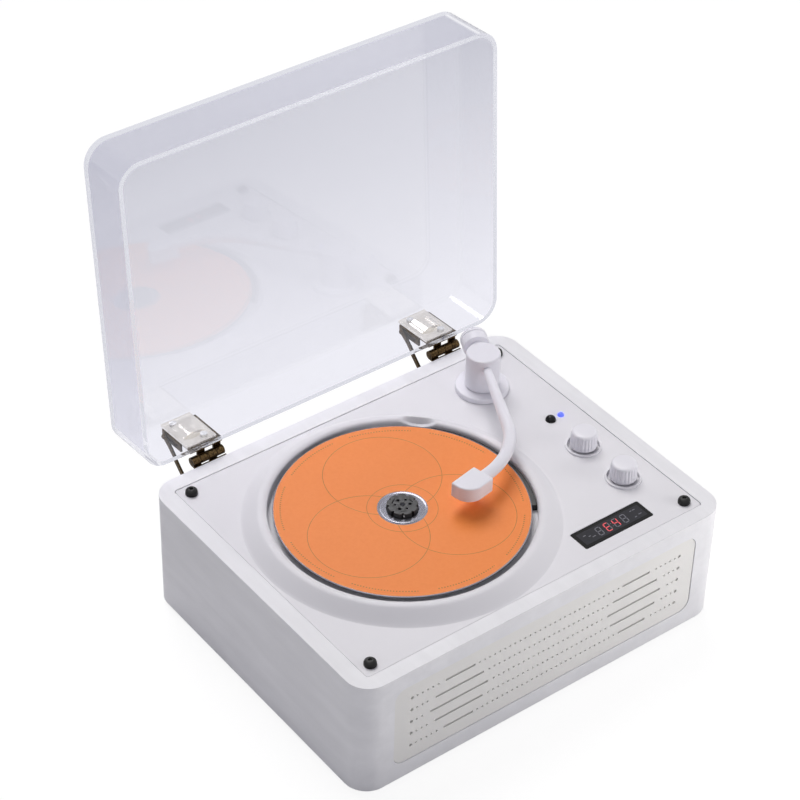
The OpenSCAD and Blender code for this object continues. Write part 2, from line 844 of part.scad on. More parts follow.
module select_encoder() color("silver") framed()
    translate([knob_x, select_y, 0]) control_body(shaft_r + run_fit);

// Box of the given size on the main board, at a place from its middle
module on_board(at, size, height)
    translate([board_x + at.x, board_y + at.y, 0])
        block([-size.x / 2, -size.y / 2, board_top - eps], [size.x / 2, size.y / 2, board_top + height]);

module main_board() color("darkgreen") framed() difference() {
    union() {
        block([board_x - board_w / 2, board_y - board_d / 2, board_z],
              [board_x + board_w / 2, board_y + board_d / 2, board_top]);
        on_board(chip_at, [chip_side, chip_side], chip_h);
        on_board(small_chip_at, small_chip, chip_h);
        on_board(header_at, header, header_h);
        for (i = [0 : 2])
            translate([board_x + cap_at.x + i * cap_pitch, board_y + cap_at.y, 0])
                rod(cap_r, board_top - eps, board_top + cap_h);
    }
    for (p = standoffs)
        translate([p.x, p.y, 0]) rod(standoff_bore, board_z - over, board_top + over);
}

module battery_pack() color("steelblue") framed() translate([pack_x, pack_y, floor_z]) {
    for (s = [-1, 1])
        translate([0, s * cell_d / 2, cell_d / 2])
            rod_x_axis(cell_d / 2, -pack_l / 2 + cell_end, pack_l / 2 - cell_end);
    block([-pack_l / 2 + cell_end, -cell_d / 2, 0], [pack_l / 2 - cell_end, cell_d / 2, cell_d - wrap_drop]);
}

module audio_jack() color("black") framed() translate([port_x + jack_off, 0, jack_z]) difference() {
    union() {
        block([-jack_half, back_y - port_t - jack_body_l, -jack_half],
              [jack_half, back_y - port_t - close_gap, jack_up]);
        rod_y(jack_r + jack_wall, back_y - port_t - over, back_y);
    }
    rod_y(jack_r, back_y - jack_l, back_y + over);
}

module power_socket() color("silver") framed() translate([port_x - inlet_off, 0, jack_z]) difference() {
    union() {
        block([-inlet_half, back_y - port_t - inlet_body_l, -jack_half],
              [inlet_half, back_y - port_t - close_gap, inlet_up]);
        translate([0, back_y, 0]) rotate([90, 0, 0]) linear_extrude(port_t + over)
            round_rect(inlet_w, inlet_h, inlet_r);
    }
    translate([0, back_y + over, 0]) rotate([90, 0, 0]) linear_extrude(inlet_l + over)
        round_rect(inlet_w - 2 * inlet_wall, inlet_h - 2 * inlet_wall, inlet_r - inlet_wall);
}

module rear_port_plate() color("white") framed() difference() {
    translate([port_x, back_y, jack_z]) rotate([90, 0, 0]) linear_extrude(port_t)
        round_rect(port_w - 2 * panel_gap, port_h - 2 * panel_gap, port_r - panel_gap);
    translate([port_x + jack_off, 0, jack_z])
        rod_y(jack_r + jack_wall + fit, back_y - port_t - over, back_y + over);
    translate([port_x - inlet_off, back_y + over, jack_z]) rotate([90, 0, 0])
        linear_extrude(port_t + 2 * over) round_rect(inlet_w + 2 * fit, inlet_h + 2 * fit, inlet_r + fit);
}

// Everything in the mechanism is placed from the spindle's axis
module at_well() translate([well_x, well_y, 0]) children();

module mech_chassis() color("silver") framed() at_well() difference() {
    union() {
        block([-chassis_w / 2, damper_y[0] - chassis_edge, chassis_z],
              [chassis_w / 2, tab_back + tab_t + edge_gap, chassis_top]);
        for (y = [tab_front, tab_back]) {
            block([-rod_x - bearing_edge, y, rod_z - bearing_edge],
                  [-rod_x + bearing_reach, y + tab_t, chassis_z + eps]);
            block([rod_x - bearing_reach, y, rod_z - bearing_edge],
                  [screw_x + bearing_edge, y + tab_t, chassis_z + eps]);
        }
    }
    rod(boss_r + 0.5, chassis_z - over, chassis_top + over);
    block([-chassis_gap_half, lens_start - sled_half - edge_gap, chassis_z - over],
          [chassis_gap_half, tab_back - edge_gap, chassis_top + over]);
    for (s = [-1, 1])
        translate([s * rod_x, 0, rod_z]) rod_y(rod_r + fit / 2, tab_front - over, tab_back + tab_t + over);
    translate([screw_x, 0, rod_z]) rod_y(screw_r + run_fit, tab_front - over, tab_back + tab_t + over);
    at_dampers() rod(screw_rad + side_gap, chassis_z - over, chassis_top + over);
}

// Same child at each damper
module at_dampers()
    for (x = [-1, 1], y = damper_y)
        translate([x * damper_x, y, 0]) children();

module chassis_dampers() color("black") framed() at_well() at_dampers() difference() {
    rod(damper_r, chassis_top, deck_under);
    rod(screw_rad + fit, chassis_top - over, deck_under + over);
}

module chassis_screws() color("silver") framed() at_well() at_dampers()
    translate([0, 0, chassis_z]) mirror([0, 0, 1]) {
        rod(screw_head_r, 0, screw_head_h);
        rod(screw_rad, -chassis_t - damper_h - chassis_screw_bite, eps);
    }

module spindle_motor() color("silver") framed() at_well() difference() {
    union() {
        rod(motor_r, chassis_z - motor_h, chassis_z);
        rod(boss_r, chassis_z - eps, chassis_top + boss_rise);
    }
    rod(spindle_r + run_fit, chassis_z - motor_h + motor_end, chassis_top + boss_rise + over);
}

module guide_rods() color("gainsboro") framed() at_well()
    for (s = [-1, 1])
        translate([s * rod_x, 0, rod_z]) rod_y(rod_r, tab_front, tab_back + tab_t);

module sled_motor() color("silver") framed() at_well() translate([screw_x, 0, rod_z]) difference() {
    rod_y(sled_motor_r, tab_front - sled_motor_l, tab_front);
    rod_y(screw_r + run_fit, tab_front - sled_motor_l + motor_end, tab_front + over);
}

module lead_screw() color("gray") framed() at_well() translate([screw_x, 0, rod_z])
    rod_y(screw_r, tab_front - sled_motor_l + motor_end + end_play, tab_back + tab_t);

module pickup_sled() color("dimgray") framed() at_well() translate([0, lens_start, 0]) difference() {
    union() {
        block([-rod_x - bearing_edge, -sled_half, rod_z - sled_half_h],
              [screw_x + bearing_edge, sled_half, rod_z + sled_half_h]);
        block([-housing_w / 2, -housing_d / 2, rod_z + sled_half_h - eps],
              [housing_w / 2, housing_d / 2, deck_under - 0.4]);
        block([-holder / 2, -holder / 2, deck_under - 0.5], [holder / 2, holder / 2, lens_z]);
    }
    for (s = [-1, 1])
        translate([s * rod_x, 0, rod_z]) rod_y(rod_r + run_fit, -sled_half - over, sled_half + over);
    translate([screw_x, 0, rod_z]) rod_y(screw_r + run_fit, -sled_half - over, sled_half + over);
    rod(lens_r - 0.5, rod_z + 2, lens_z + over);
}

module pickup_lens() color("lightskyblue") framed() at_well() translate([0, lens_start, lens_z])
    rotate_extrude() polygon([[0, 0], [lens_r, 0], [lens_r, lens_rim], [lens_r * 0.7, 2 * lens_rim],
                              [0, lens_h]]);

module spindle_hub() color("black") framed() at_well() difference() {
    rotate_extrude() polygon([[0, disc_z - platter_h], [platter_r - platter_h, disc_z - platter_h],
                              [platter_r, disc_z - platter_rim], [platter_r, disc_z], [hub_r, disc_z],
                              [hub_r, disc_top + hub_neck], [hub_r - hub_taper, disc_top + nose_h],
                              [0, disc_top + nose_h]]);
    rod(spindle_r + fit / 2, disc_z - platter_h - over, disc_top + nose_h + over);
    for (i = [0 : 2])
        rotate(i * 120) translate([hub_r - hub_notch_in, -hub_notch / 2, disc_top - close_gap])
            cube([hub_notch, hub_notch, nose_h + over]);
}

module spindle_shaft() color("gainsboro") framed() at_well()
    rod(spindle_r, chassis_z - motor_h + motor_end + end_play, disc_top + nose_h);

module compact_disc() color("darkorange") framed() at_well() difference() {
    rod(disc_r, disc_z, disc_top, $fn = 128);
    rod(disc_bore_r, disc_z - over, disc_top + over);
}

// Everything in the tonearm is placed from the post's axis
module at_post() translate([arm_x, arm_y, deck_z]) children();

module tonearm_base() color("white") framed() at_post() difference() {
    union() {
        rotate_extrude() polygon([[0, 0], [arm_base_r, 0], [arm_base_r, arm_base_h - base_edge],
                                  [arm_base_r - base_edge, arm_base_h], [0, arm_base_h]]);
        rod(arm_bush_r, -deck_t - arm_bush_l, eps);
    }
    rod(arm_shaft_r + run_fit, -deck_t - arm_bush_l - over, arm_base_h + over);
}

module tonearm_post() color("white") framed() at_post() difference() {
    rotate_extrude() polygon([[0, arm_base_h + side_gap], [post_r, arm_base_h + side_gap],
                              [post_r, post_top - post_edge], [post_r - post_edge, post_top],
                              [0, post_top]]);
    rod(arm_shaft_r + fit / 2, 0, post_top - post_cap);
    rotate(tube_heading - 90) translate([0, 0, tube_z]) rod_y(tube_r1 + fit, socket_in, post_r + over);
    rotate(tube_heading + 90) translate([0, 0, weight_z]) rod_y(neck_r + fit, socket_in, post_r + over);
}

module tonearm_shaft() color("silver") framed() at_post() {
    rod(arm_shaft_r, -deck_t - arm_bush_l - side_gap - arm_flange_t, post_top - post_cap - 0.5);
    rod(arm_bush_r, -deck_t - arm_bush_l - side_gap - arm_flange_t, -deck_t - arm_bush_l - side_gap);
}

// Straight tapered run, then a bend, then a stub into the headshell
module tonearm_tube() color("white") framed() at_post() translate([0, 0, tube_z]) rotate(tube_heading - 90) {
    translate([0, stub_in, 0]) rotate([-90, 0, 0])
        cylinder(r1 = tube_r1, r2 = tube_r2, h = tube_run - stub_in);
    translate([tube_bend_r, tube_run, 0]) rotate(180 - tube_bend)
        rotate_extrude(angle = tube_bend, $fn = 128)
            translate([tube_bend_r, 0]) circle(tube_r2 - eps);
    at_bend_end() rod_y(tube_r2, -eps, head_stub - head_room);
}

// Frame at the end of the bend, with +Y along the heading there
module at_bend_end()
    translate([tube_bend_r, tube_run, 0]) rotate(-tube_bend) translate([-tube_bend_r, 0, 0]) children();

module headshell() color("white") framed() at_post() translate([0, 0, tube_z]) rotate(tube_heading - 90)
    at_bend_end() difference() {
        translate([0, head_gap, tube_r2 - head_h]) linear_extrude(head_h) difference() {
            translate([-head_w / 2, 0]) square([head_w, head_l]);
            translate([-head_w / 2 - eps, head_l - head_round + eps])
                difference() {
                    square(head_round);
                    translate([head_round, 0]) circle(head_round);
                }
        }
        rod_y(tube_r2 + fit, -over, head_stub);
    }

module counterweight() color("white") framed() at_post() rotate(tube_heading + 90)
    translate([0, 0, weight_z]) {
        rod_y(neck_r, stub_in, weight_reach - weight_l + eps);
        translate([0, weight_reach - weight_l, 0]) rotate([-90, 0, 0]) rotate_extrude()
            polygon([[0, 0], [weight_r - weight_edge, 0], [weight_r, weight_edge],
                     [weight_r, weight_l - weight_edge], [weight_r - weight_edge, weight_l], [0, weight_l]]);
    }

// Fluted knob with its foot on the given level, bored for its shaft
module knob_body(z) difference() {
    union() {
        translate([0, 0, z]) cylinder(r1 = knob_r2, r2 = knob_r1, h = knob_h - knob_edge);
        translate([0, 0, z + knob_h - knob_edge])
            cylinder(r1 = knob_r1, r2 = knob_r1 - knob_edge, h = knob_edge);
    }
    for (i = [0 : flutes - 1])
        rotate(i * 360 / flutes) translate([knob_r2 + 0.1, 0, z + 1])
            cylinder(r = flute_depth + 0.2, h = knob_h, $fn = 8);
    rod(shaft_r + fit / 2, z - over, z + knob_h - knob_cap);
}

module volume_knob() color("white") framed() translate([knob_x, volume_y, 0]) knob_body(knob_z);

module select_knob() color("white") framed() translate([knob_x, select_y, 0]) knob_body(knob_z);

module volume_shaft() color("silver") framed()
    translate([knob_x, volume_y, 0]) rod(shaft_r, shaft_foot, knob_shaft_top);

module select_shaft() color("silver") framed()
    translate([knob_x, select_y, 0]) rod(shaft_r, shaft_foot, knob_shaft_top);

module select_plunger() color("gray") framed()
    translate([knob_x, select_y, 0]) rod(shaft_r, shaft_foot - plunger_h - fit, shaft_foot - fit);

// The closed lid's frame, opened about the hinge axis
module opened()
    translate([0, hinge_y, hinge_z]) rotate([-lid_open, 0, 0]) translate([0, -hinge_y, -hinge_z]) children();

// Same child at each hinge
module at_hinges()
    for (s = [-1, 1])
        translate([s * hinge_x, 0, 0]) children();

module lid_shell() color("white", 0.3) framed() opened() difference() {
    translate([0, 0, lid_z]) linear_extrude(lid_h) round_rect(lid_w, lid_d, lid_r);
    translate([0, 0, lid_z - over]) linear_extrude(lid_h - lid_wall + over)
        round_rect(lid_w - 2 * lid_wall, lid_d - 2 * lid_wall, lid_r - lid_wall);
    at_hinges() pad_screw_places()
        rod_y(leaf_screw_r + fit, lid_back - lid_wall - over, lid_back + over);
}

// Screws through the pad, the lid and the leaf: one at each end of the pad
module pad_screw_places()
    for (p = pad_screws)
        translate([p.x, 0, lid_z + p.y]) children();

// Knuckles of one leaf: first is 0 or 1, and every second one belongs to it
module knuckle_set(first)
    for (i = [first : 2 : knuckles - 1])
        translate([-hinge_l / 2 + i * hinge_l / knuckles + knuckle_gap / 2, 0, 0]) children();

module hinge_cabinet_leaves() color("saddlebrown") framed() at_hinges() difference() {
    union() {
        block([-hinge_l / 2, back_y, hinge_z - cab_leaf_l],
              [hinge_l / 2, back_y + leaf_t, hinge_z - cab_leaf_top]);
        knuckle_set(0) {
            translate([0, hinge_y, hinge_z]) rod_x_axis(barrel_r, 0, knuckle_l);
            block([0, back_y, hinge_z - barrel_r], [knuckle_l, hinge_y, hinge_z - barrel_r + leaf_t]);
        }
        block([ear_x, back_y, hinge_z + pivot_z - ear_w],
              [ear_x + leaf_t + eps, hinge_y + pivot_y + ear_w, hinge_z + pivot_z + ear_w]);
    }
    translate([0, hinge_y, hinge_z]) rod_x_axis(pin_r + fit / 2, -hinge_l, hinge_l);
    translate([0, hinge_y + pivot_y, hinge_z + pivot_z])
        rod_x_axis(rivet_r + run_fit, ear_x - over, ear_x + leaf_t + over);
    for (z = leaf_screw_levels)
        translate([0, 0, hinge_z - z]) rod_y(leaf_screw_r + fit, back_y - over, back_y + leaf_t + over);
}

module hinge_pins() color("saddlebrown") framed() at_hinges()
    translate([0, hinge_y, hinge_z]) rod_x_axis(pin_r, -hinge_l / 2, hinge_l / 2);

module cabinet_leaf_screws() color("saddlebrown") framed() at_hinges()
    for (z = leaf_screw_levels)
        translate([0, 0, hinge_z - z]) {
            rod_y(leaf_screw_r, back_y - leaf_screw_l, back_y + leaf_t + eps);
            rod_y(leaf_head_r, back_y + leaf_t, back_y + leaf_t + leaf_head_h);
        }

module hinge_lid_leaves() color("saddlebrown") framed() opened() at_hinges() difference() {
    union() {
        block([-hinge_l / 2, lid_back, lid_leaf_z], [hinge_l / 2, lid_back + leaf_t, lid_leaf_top]);
        knuckle_set(1) {
            translate([0, hinge_y, hinge_z]) rod_x_axis(barrel_r, 0, knuckle_l);
            block([0, lid_back, hinge_z + barrel_r - leaf_t], [knuckle_l, hinge_y, hinge_z + barrel_r]);
        }
        block([ear_x, lid_back, hinge_z + ear_foot],
              [ear_x + leaf_t + eps, lid_back + ear_reach, lid_leaf_top]);
    }
    translate([0, hinge_y, hinge_z]) rod_x_axis(pin_r + run_fit, -hinge_l, hinge_l);
    block([ear_x - over, lid_back + ear_slot_y[0], hinge_z + ear_slot_z[0]],
          [ear_x + leaf_t - ear_slot_floor, lid_back + ear_slot_y[1], hinge_z + ear_slot_z[1]]);
    pad_screw_places() rod_y(leaf_screw_r + fit, lid_back - over, lid_back + leaf_t + over);
}

// Clear pad inside the lid's back wall: a thin foot with a rounded middle
module hinge_pads() color("azure", 0.5) framed() opened() at_hinges() difference() {
    translate([pad_x, lid_back - lid_wall, lid_z]) {
        block([-pad_w / 2, -pad_foot, pad_from], [pad_w / 2, 0, pad_to]);
        intersection() {
            translate([0, pad_round - pad_h, 0]) rod(pad_round, pad_mid_from, pad_mid_to);
            block([-pad_w / 2, -pad_h, 0], [pad_w / 2, 0, pad_to]);
        }
    }
    pad_screw_places() rod_y(leaf_screw_r + fit, lid_back - lid_wall - pad_h - over, lid_back);
}

module lid_leaf_screws() color("silver") framed() opened() at_hinges() pad_screw_places() {
    rod_y(leaf_screw_r, lid_back - lid_wall - pad_foot - eps, lid_back + leaf_t + 0.6);
    rod_y(leaf_head_r, lid_back - lid_wall - pad_foot - pad_head_h, lid_back - lid_wall - pad_foot);
}

// Flat strip between two points of the stay's side view
module stay_strip(a, b) {
    run = norm(b - a);
    translate(a) rotate(atan2(b.y - a.y, b.x - a.x)) translate([0, -stay_w / 2]) square([run, stay_w]);
}

// Stay arm from its pivot on the cabinet's leaf to the slot in the lid's leaf
module stay_arm() color("saddlebrown") {
    inner_side = 2 * leaf_t + 2 * side_gap;
    translate([stay_x, hinge_y, hinge_z]) {
        rotate([90, 0, 90]) linear_extrude(leaf_t) {
            stay_strip([pivot_y, pivot_z], [knee_y, knee_z]);
            stay_strip([knee_y, knee_z], [tip_y, tip_z]);
            translate([knee_y, knee_z]) circle(stay_w / 2 + 0.05);
            translate([pivot_y, pivot_z]) circle(eye_r);
            translate([tip_y, tip_z]) circle(eye_r);
        }
        translate([0, pivot_y, pivot_z]) {
            rod_x_axis(stay_w / 2 - 0.15, -rivet_head_h, leaf_t / 2);
            rod_x_axis(rivet_r, leaf_t / 2, inner_side + rivet_head_h / 2);
            rod_x_axis(rivet_r * 1.6, inner_side, inner_side + rivet_head_h);
        }
        translate([0, tip_y, tip_z]) rod_x_axis(stay_w / 2 - 0.3, -rivet_head_h, leaf_t / 2);
    }
}

module stay_arm_left() framed() translate([-hinge_x, 0, 0]) stay_arm();

module stay_arm_right() framed() translate([hinge_x, 0, 0]) stay_arm();

cabinet_shell();
base_plate();
base_screws();
rubber_feet();
corner_blocks();
deck_panel();
well_collar();
deck_screws();
screw_plugs();
well_liner();
front_grille();
grille_cloth();
speaker_frames();
speaker_cones();
speaker_magnets();
display_window();
display_module();
remote_sensor();
status_lamp();
control_board();
volume_pot();
select_encoder();
main_board();
battery_pack();
audio_jack();
power_socket();
rear_port_plate();
mech_chassis();
chassis_dampers();
chassis_screws();
spindle_motor();
guide_rods();
sled_motor();
tonearm_base();
hinge_cabinet_leaves();
hinge_pins();
cabinet_leaf_screws();
lid_shell();
hinge_lid_leaves();
hinge_pads();
lid_leaf_screws();
stay_arm_left();
stay_arm_right();
tonearm_post();
tonearm_tube();
headshell();
counterweight();
tonearm_shaft();
volume_knob();
volume_shaft();
select_plunger();
select_shaft();
select_knob();
spindle_hub();
spindle_shaft();
compact_disc();
pickup_sled();
pickup_lens();
lead_screw();
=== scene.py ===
# %% [markdown]
# # A disc player in the shape of a record deck
# The solids of the player come ready from CAD as a fixed frame. This lesson dresses them: it sets the camera
# and a plain studio, makes a finish for each real material, and builds the pieces that the eye rests on with
# more detail than the solids have. Two small helpers come first: one puts an object into the scene, and one
# reads the mesh that an object comes to when its modifiers have run.

# %% Load the frame
import json
import math
import bmesh
import bpy
from mathutils import Matrix, Vector

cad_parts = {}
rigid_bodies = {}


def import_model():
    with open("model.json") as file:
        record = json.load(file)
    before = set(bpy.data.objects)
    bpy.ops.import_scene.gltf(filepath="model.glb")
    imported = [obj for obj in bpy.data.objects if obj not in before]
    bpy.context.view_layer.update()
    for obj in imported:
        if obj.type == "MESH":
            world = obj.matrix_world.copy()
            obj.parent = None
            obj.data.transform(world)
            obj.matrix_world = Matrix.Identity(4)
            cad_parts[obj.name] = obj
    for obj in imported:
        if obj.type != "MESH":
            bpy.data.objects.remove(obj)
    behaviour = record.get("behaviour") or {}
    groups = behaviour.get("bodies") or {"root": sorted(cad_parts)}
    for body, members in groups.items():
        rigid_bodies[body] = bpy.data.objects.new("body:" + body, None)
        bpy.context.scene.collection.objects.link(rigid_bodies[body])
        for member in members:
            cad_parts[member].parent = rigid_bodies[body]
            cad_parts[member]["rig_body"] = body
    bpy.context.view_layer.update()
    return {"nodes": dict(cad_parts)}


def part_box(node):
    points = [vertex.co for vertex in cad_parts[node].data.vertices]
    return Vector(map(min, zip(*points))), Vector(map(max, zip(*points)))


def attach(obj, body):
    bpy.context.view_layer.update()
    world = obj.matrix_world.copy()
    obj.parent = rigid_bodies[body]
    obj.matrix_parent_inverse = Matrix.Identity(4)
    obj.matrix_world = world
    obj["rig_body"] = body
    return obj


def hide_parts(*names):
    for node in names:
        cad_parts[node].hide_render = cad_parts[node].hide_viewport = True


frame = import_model()
MM = 0.001


def linked(name, data):
    item = bpy.data.objects.new(name, data)
    bpy.context.scene.collection.objects.link(item)
    return item


def evaluated_mesh(item):
    return bpy.data.meshes.new_from_object(item.evaluated_get(bpy.context.evaluated_depsgraph_get()))


# %% [markdown]
# The frame is in metres, and a maker thinks in millimetres, so lengths are written in millimetres times MM. The
# places of the knobs, the hub and the post are read from the boxes of the solids, so they follow the CAD.

# %% Places
def middle(node):
    low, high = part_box(node)
    return (low + high) / 2


def size(node):
    low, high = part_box(node)
    return high - low


def around(centre, reach_mm, turn):
    return (centre[0] + reach_mm * MM * math.cos(turn), centre[1] + reach_mm * MM * math.sin(turn))


DECK_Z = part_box("display_window")[1].z
DISC_LOW, DISC_HIGH = (corner.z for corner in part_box("compact_disc"))
SPINDLE = middle("compact_disc")
POST = middle("tonearm_post")
print("deck at", round(DECK_Z / MM, 1), "mm, disc at", round(DISC_LOW / MM, 1), "mm")

# %% [markdown]
# The camera stands where the photographer's did. Its place, its turn and its focal length come from a fit to
# the straight edges of the cabinet and the ellipse of the disc.

# %% Camera
camera = linked("camera", bpy.data.cameras.new("camera"))
bpy.context.scene.camera = camera
camera.data.sensor_width = 36
camera.data.lens = 113.76
camera.data.clip_start = 0.05
camera.data.clip_end = 50
camera.location = (-0.56740, -0.71275, 0.83754)
camera.rotation_euler = [math.radians(turn) for turn in (51.3783, -1.2309, -37.1872)]
print("camera", round(camera.location.length, 2), "m from the origin")

# %% [markdown]
# Every finish is a tree of shader nodes, and every repeated shape a tree of geometry nodes. One small helper
# adds a node with its settings, the links into it and, where there is one, the socket that it feeds. Another
# turns a hex colour, as a paint chart gives it, into the linear numbers that Blender mixes with.

# %% Helpers for nodes
def colour(hex_code):
    parts = [int(hex_code[i:i + 2], 16) / 255 for i in (1, 3, 5)]
    return (*[c / 12.92 if c <= 0.04045 else ((c + 0.055) / 1.055) ** 2.4 for c in parts], 1)


def add_node(tree, kind, links=None, feeds=None, out=0, **settings):
    node = tree.nodes.new(kind)
    for name, value in settings.items():
        setattr(node, name, value)
    for key, value in (links or {}).items():
        socket = node.inputs[key]
        if isinstance(value, bpy.types.NodeSocket):
            tree.links.new(value, socket)
        else:
            socket.default_value = value
    if feeds is not None:
        tree.links.new(node.outputs[out], feeds)
    return node


def new_material(name):
    material = bpy.data.materials.new(name)
    material.use_nodes = True
    tree = material.node_tree
    tree.nodes.clear()
    surface = add_node(tree, "ShaderNodeBsdfPrincipled")
    add_node(tree, "ShaderNodeOutputMaterial", {"Surface": surface.outputs["BSDF"]})
    where = add_node(tree, "ShaderNodeTexCoord").outputs["Object"]
    return material, tree, surface, where


def settle(surface, **values):
    for name, value in values.items():
        surface.inputs[name.replace("_", " ")].default_value = value


print("grey 50% is", round(colour("#808080")[0], 3), "in linear light")

# %% [markdown]
# The studio is a pale floor under soft light. The headshell's shadow on the disc falls to the front, so the
# main light stands behind and above. A weak one fills in from the left, and a lamp near the right of the front
# panel, like a window, makes the panel brighter towards that end. It is hidden from the camera and from
# reflections, or the lid would show it as a white square. To the camera, in reflections and through the
# clear lid the surroundings are plain white, but they light the player only a little. Light that a matt surface
# has scattered counts as light even behind the lid, or the deck would be brighter near it.

# %% World
# 1 for a ray of one of these kinds, unless it has been scattered by a matt surface on its way
def seen_directly(tree, *kinds):
    rays = add_node(tree, "ShaderNodeLightPath").outputs
    seen = rays[kinds[0]]
    for kind in kinds[1:]:
        seen = add_node(tree, "ShaderNodeMath", {0: seen, 1: rays[kind]}, operation="MAXIMUM").outputs[0]
    direct = add_node(tree, "ShaderNodeMath", {0: rays["Diffuse Depth"], 1: 0.5}, operation="LESS_THAN").outputs[0]
    return add_node(tree, "ShaderNodeMath", {0: seen, 1: direct}, operation="MULTIPLY").outputs[0]


world = bpy.data.worlds.new("studio")
bpy.context.scene.world = world
world.use_nodes = True
sky = world.node_tree
sky.nodes.clear()
seen = seen_directly(sky, "Is Camera Ray", "Is Glossy Ray", "Is Transmission Ray")
fill_light = add_node(sky, "ShaderNodeBackground", {"Color": colour("#dcdcec"), "Strength": 0.25})
white_room = add_node(sky, "ShaderNodeBackground", {"Color": (1, 1, 1, 1), "Strength": 1.0})
sky_mix = add_node(sky, "ShaderNodeMixShader", {0: seen, 1: fill_light.outputs[0], 2: white_room.outputs[0]})
add_node(sky, "ShaderNodeOutputWorld", {"Surface": sky_mix.outputs[0]})
bpy.context.scene.view_settings.view_transform = "Standard"
print("world ready")

# %% Lamps
def lamp(name, kind, towards, strength, tint, **settings):
    data = bpy.data.lights.new(name, kind)
    data.energy = strength
    data.color = colour(tint)[:3]
    for key, value in settings.items():
        setattr(data, key, value)
    item = linked(name, data)
    item.location = Vector(towards)
    item.rotation_mode = "QUATERNION"
    item.rotation_quaternion = Vector(towards).to_track_quat("Z", "Y")
    return item


lamp("back_light", "SUN", (0.15, 0.6, 1.0), 1.62, "#fffdfa", angle=math.radians(35))
lamp("left_light", "SUN", (-0.6, -0.5, 1.0), 0.28, "#fffcfa", angle=math.radians(50))
window_lamp = lamp("side_window", "AREA", (0.32, -0.38, 0.14), 0.72, "#fffdfa", size=0.2)
window_lamp.visible_camera = window_lamp.visible_glossy = window_lamp.visible_transmission = False
print("three lamps")

# %% [markdown]
# The floor is a sheet of seamless paper. Four fifths of what the camera and the clear lid see of it is plain
# white, and the rest is the real matt paper, so it keeps the player's shadow. Behind the open lid the white that
# the lid shows falls off to grey, which stands for the darker end of a studio.

# %% Floor
PAPER_GLOW, PAPER_HALF = 0.8, 6
floor_mesh = bpy.data.meshes.new("floor")
floor_mesh.from_pydata([(x * PAPER_HALF, y * PAPER_HALF, 0) for x, y in ((-1, -1), (1, -1), (1, 1), (-1, 1))],
                       [], [(0, 1, 2, 3)])
floor = linked("floor", floor_mesh)
paper = bpy.data.materials.new("seamless_paper")
paper.use_nodes = True
sheet = paper.node_tree
sheet.nodes.clear()
seen = add_node(sheet, "ShaderNodeMath", {0: seen_directly(sheet, "Is Camera Ray", "Is Transmission Ray"),
                                          1: PAPER_GLOW}, operation="MULTIPLY")
rays = add_node(sheet, "ShaderNodeLightPath")
matt = add_node(sheet, "ShaderNodeBsdfDiffuse", {"Color": colour("#f4f4f4")})
spot = add_node(sheet, "ShaderNodeSeparateXYZ", {0: add_node(sheet, "ShaderNodeTexCoord").outputs["Object"]}).outputs
behind = add_node(sheet, "ShaderNodeMapRange", {"Value": spot["Y"], "From Min": 0.16, "From Max": 0.38})
dusk = add_node(sheet, "ShaderNodeMix", {0: behind.outputs[0], 6: colour("#fdfdff"), 7: colour("#cfd0d6")},
                data_type="RGBA")
view = add_node(sheet, "ShaderNodeMix", {0: rays.outputs["Is Transmission Ray"], 6: (1, 1, 1, 1),
                                         7: dusk.outputs[2]}, data_type="RGBA")
glow = add_node(sheet, "ShaderNodeEmission", {"Color": view.outputs[2], "Strength": 1.1})
paper_mix = add_node(sheet, "ShaderNodeMixShader", {0: seen.outputs[0], 1: matt.outputs[0], 2: glow.outputs[0]})
add_node(sheet, "ShaderNodeOutputMaterial", {"Surface": paper_mix.outputs[0]})
floor_mesh.materials.append(paper)
print("floor laid")

# %% [markdown]
# The cabinet is MDF under white satin paint. Paint over MDF shows a faint orange peel and, on the cut top
# edge, fine streaks where the fibres drink more paint. The deck and the tonearm are moulded ABS: the deck has
# a spark-eroded matt texture, and the tonearm and the knobs are smooth.

# %% Painted MDF
def painted_mdf():
    material, tree, surface, where = new_material("painted_mdf")
    streaks = add_node(tree, "ShaderNodeMapping", {"Vector": where, "Scale": (160, 24, 160)})
    fibre = add_node(tree, "ShaderNodeTexNoise", {"Vector": streaks.outputs[0], "Scale": 1.0, "Detail": 4.0})
    patches = add_node(tree, "ShaderNodeTexNoise", {"Vector": where, "Scale": 18.0, "Detail": 2.0})
    tone = add_node(tree, "ShaderNodeMath", {0: fibre.outputs["Fac"], 1: patches.outputs["Fac"]},
                    operation="MULTIPLY")
    ramp = add_node(tree, "ShaderNodeValToRGB", {"Fac": tone.outputs[0]}, surface.inputs["Base Color"])
    for stop, place, hex_code in zip(ramp.color_ramp.elements, (0.12, 0.42), ("#ececef", "#f5f5f8")):
        stop.position, stop.color = place, colour(hex_code)
    peel = add_node(tree, "ShaderNodeTexNoise", {"Vector": where, "Scale": 900.0, "Detail": 2.0})
    grain = add_node(tree, "ShaderNodeBump",
                     {"Height": fibre.outputs["Fac"], "Strength": 0.05, "Distance": 0.0004})
    add_node(tree, "ShaderNodeBump", {"Height": peel.outputs["Fac"], "Strength": 0.06, "Distance": 0.0003,
                                      "Normal": grain.outputs[0]}, surface.inputs["Normal"])
    settle(surface, Roughness=0.42, IOR=1.48)
    return material


PAINTED_MDF = painted_mdf()
print(PAINTED_MDF.name)

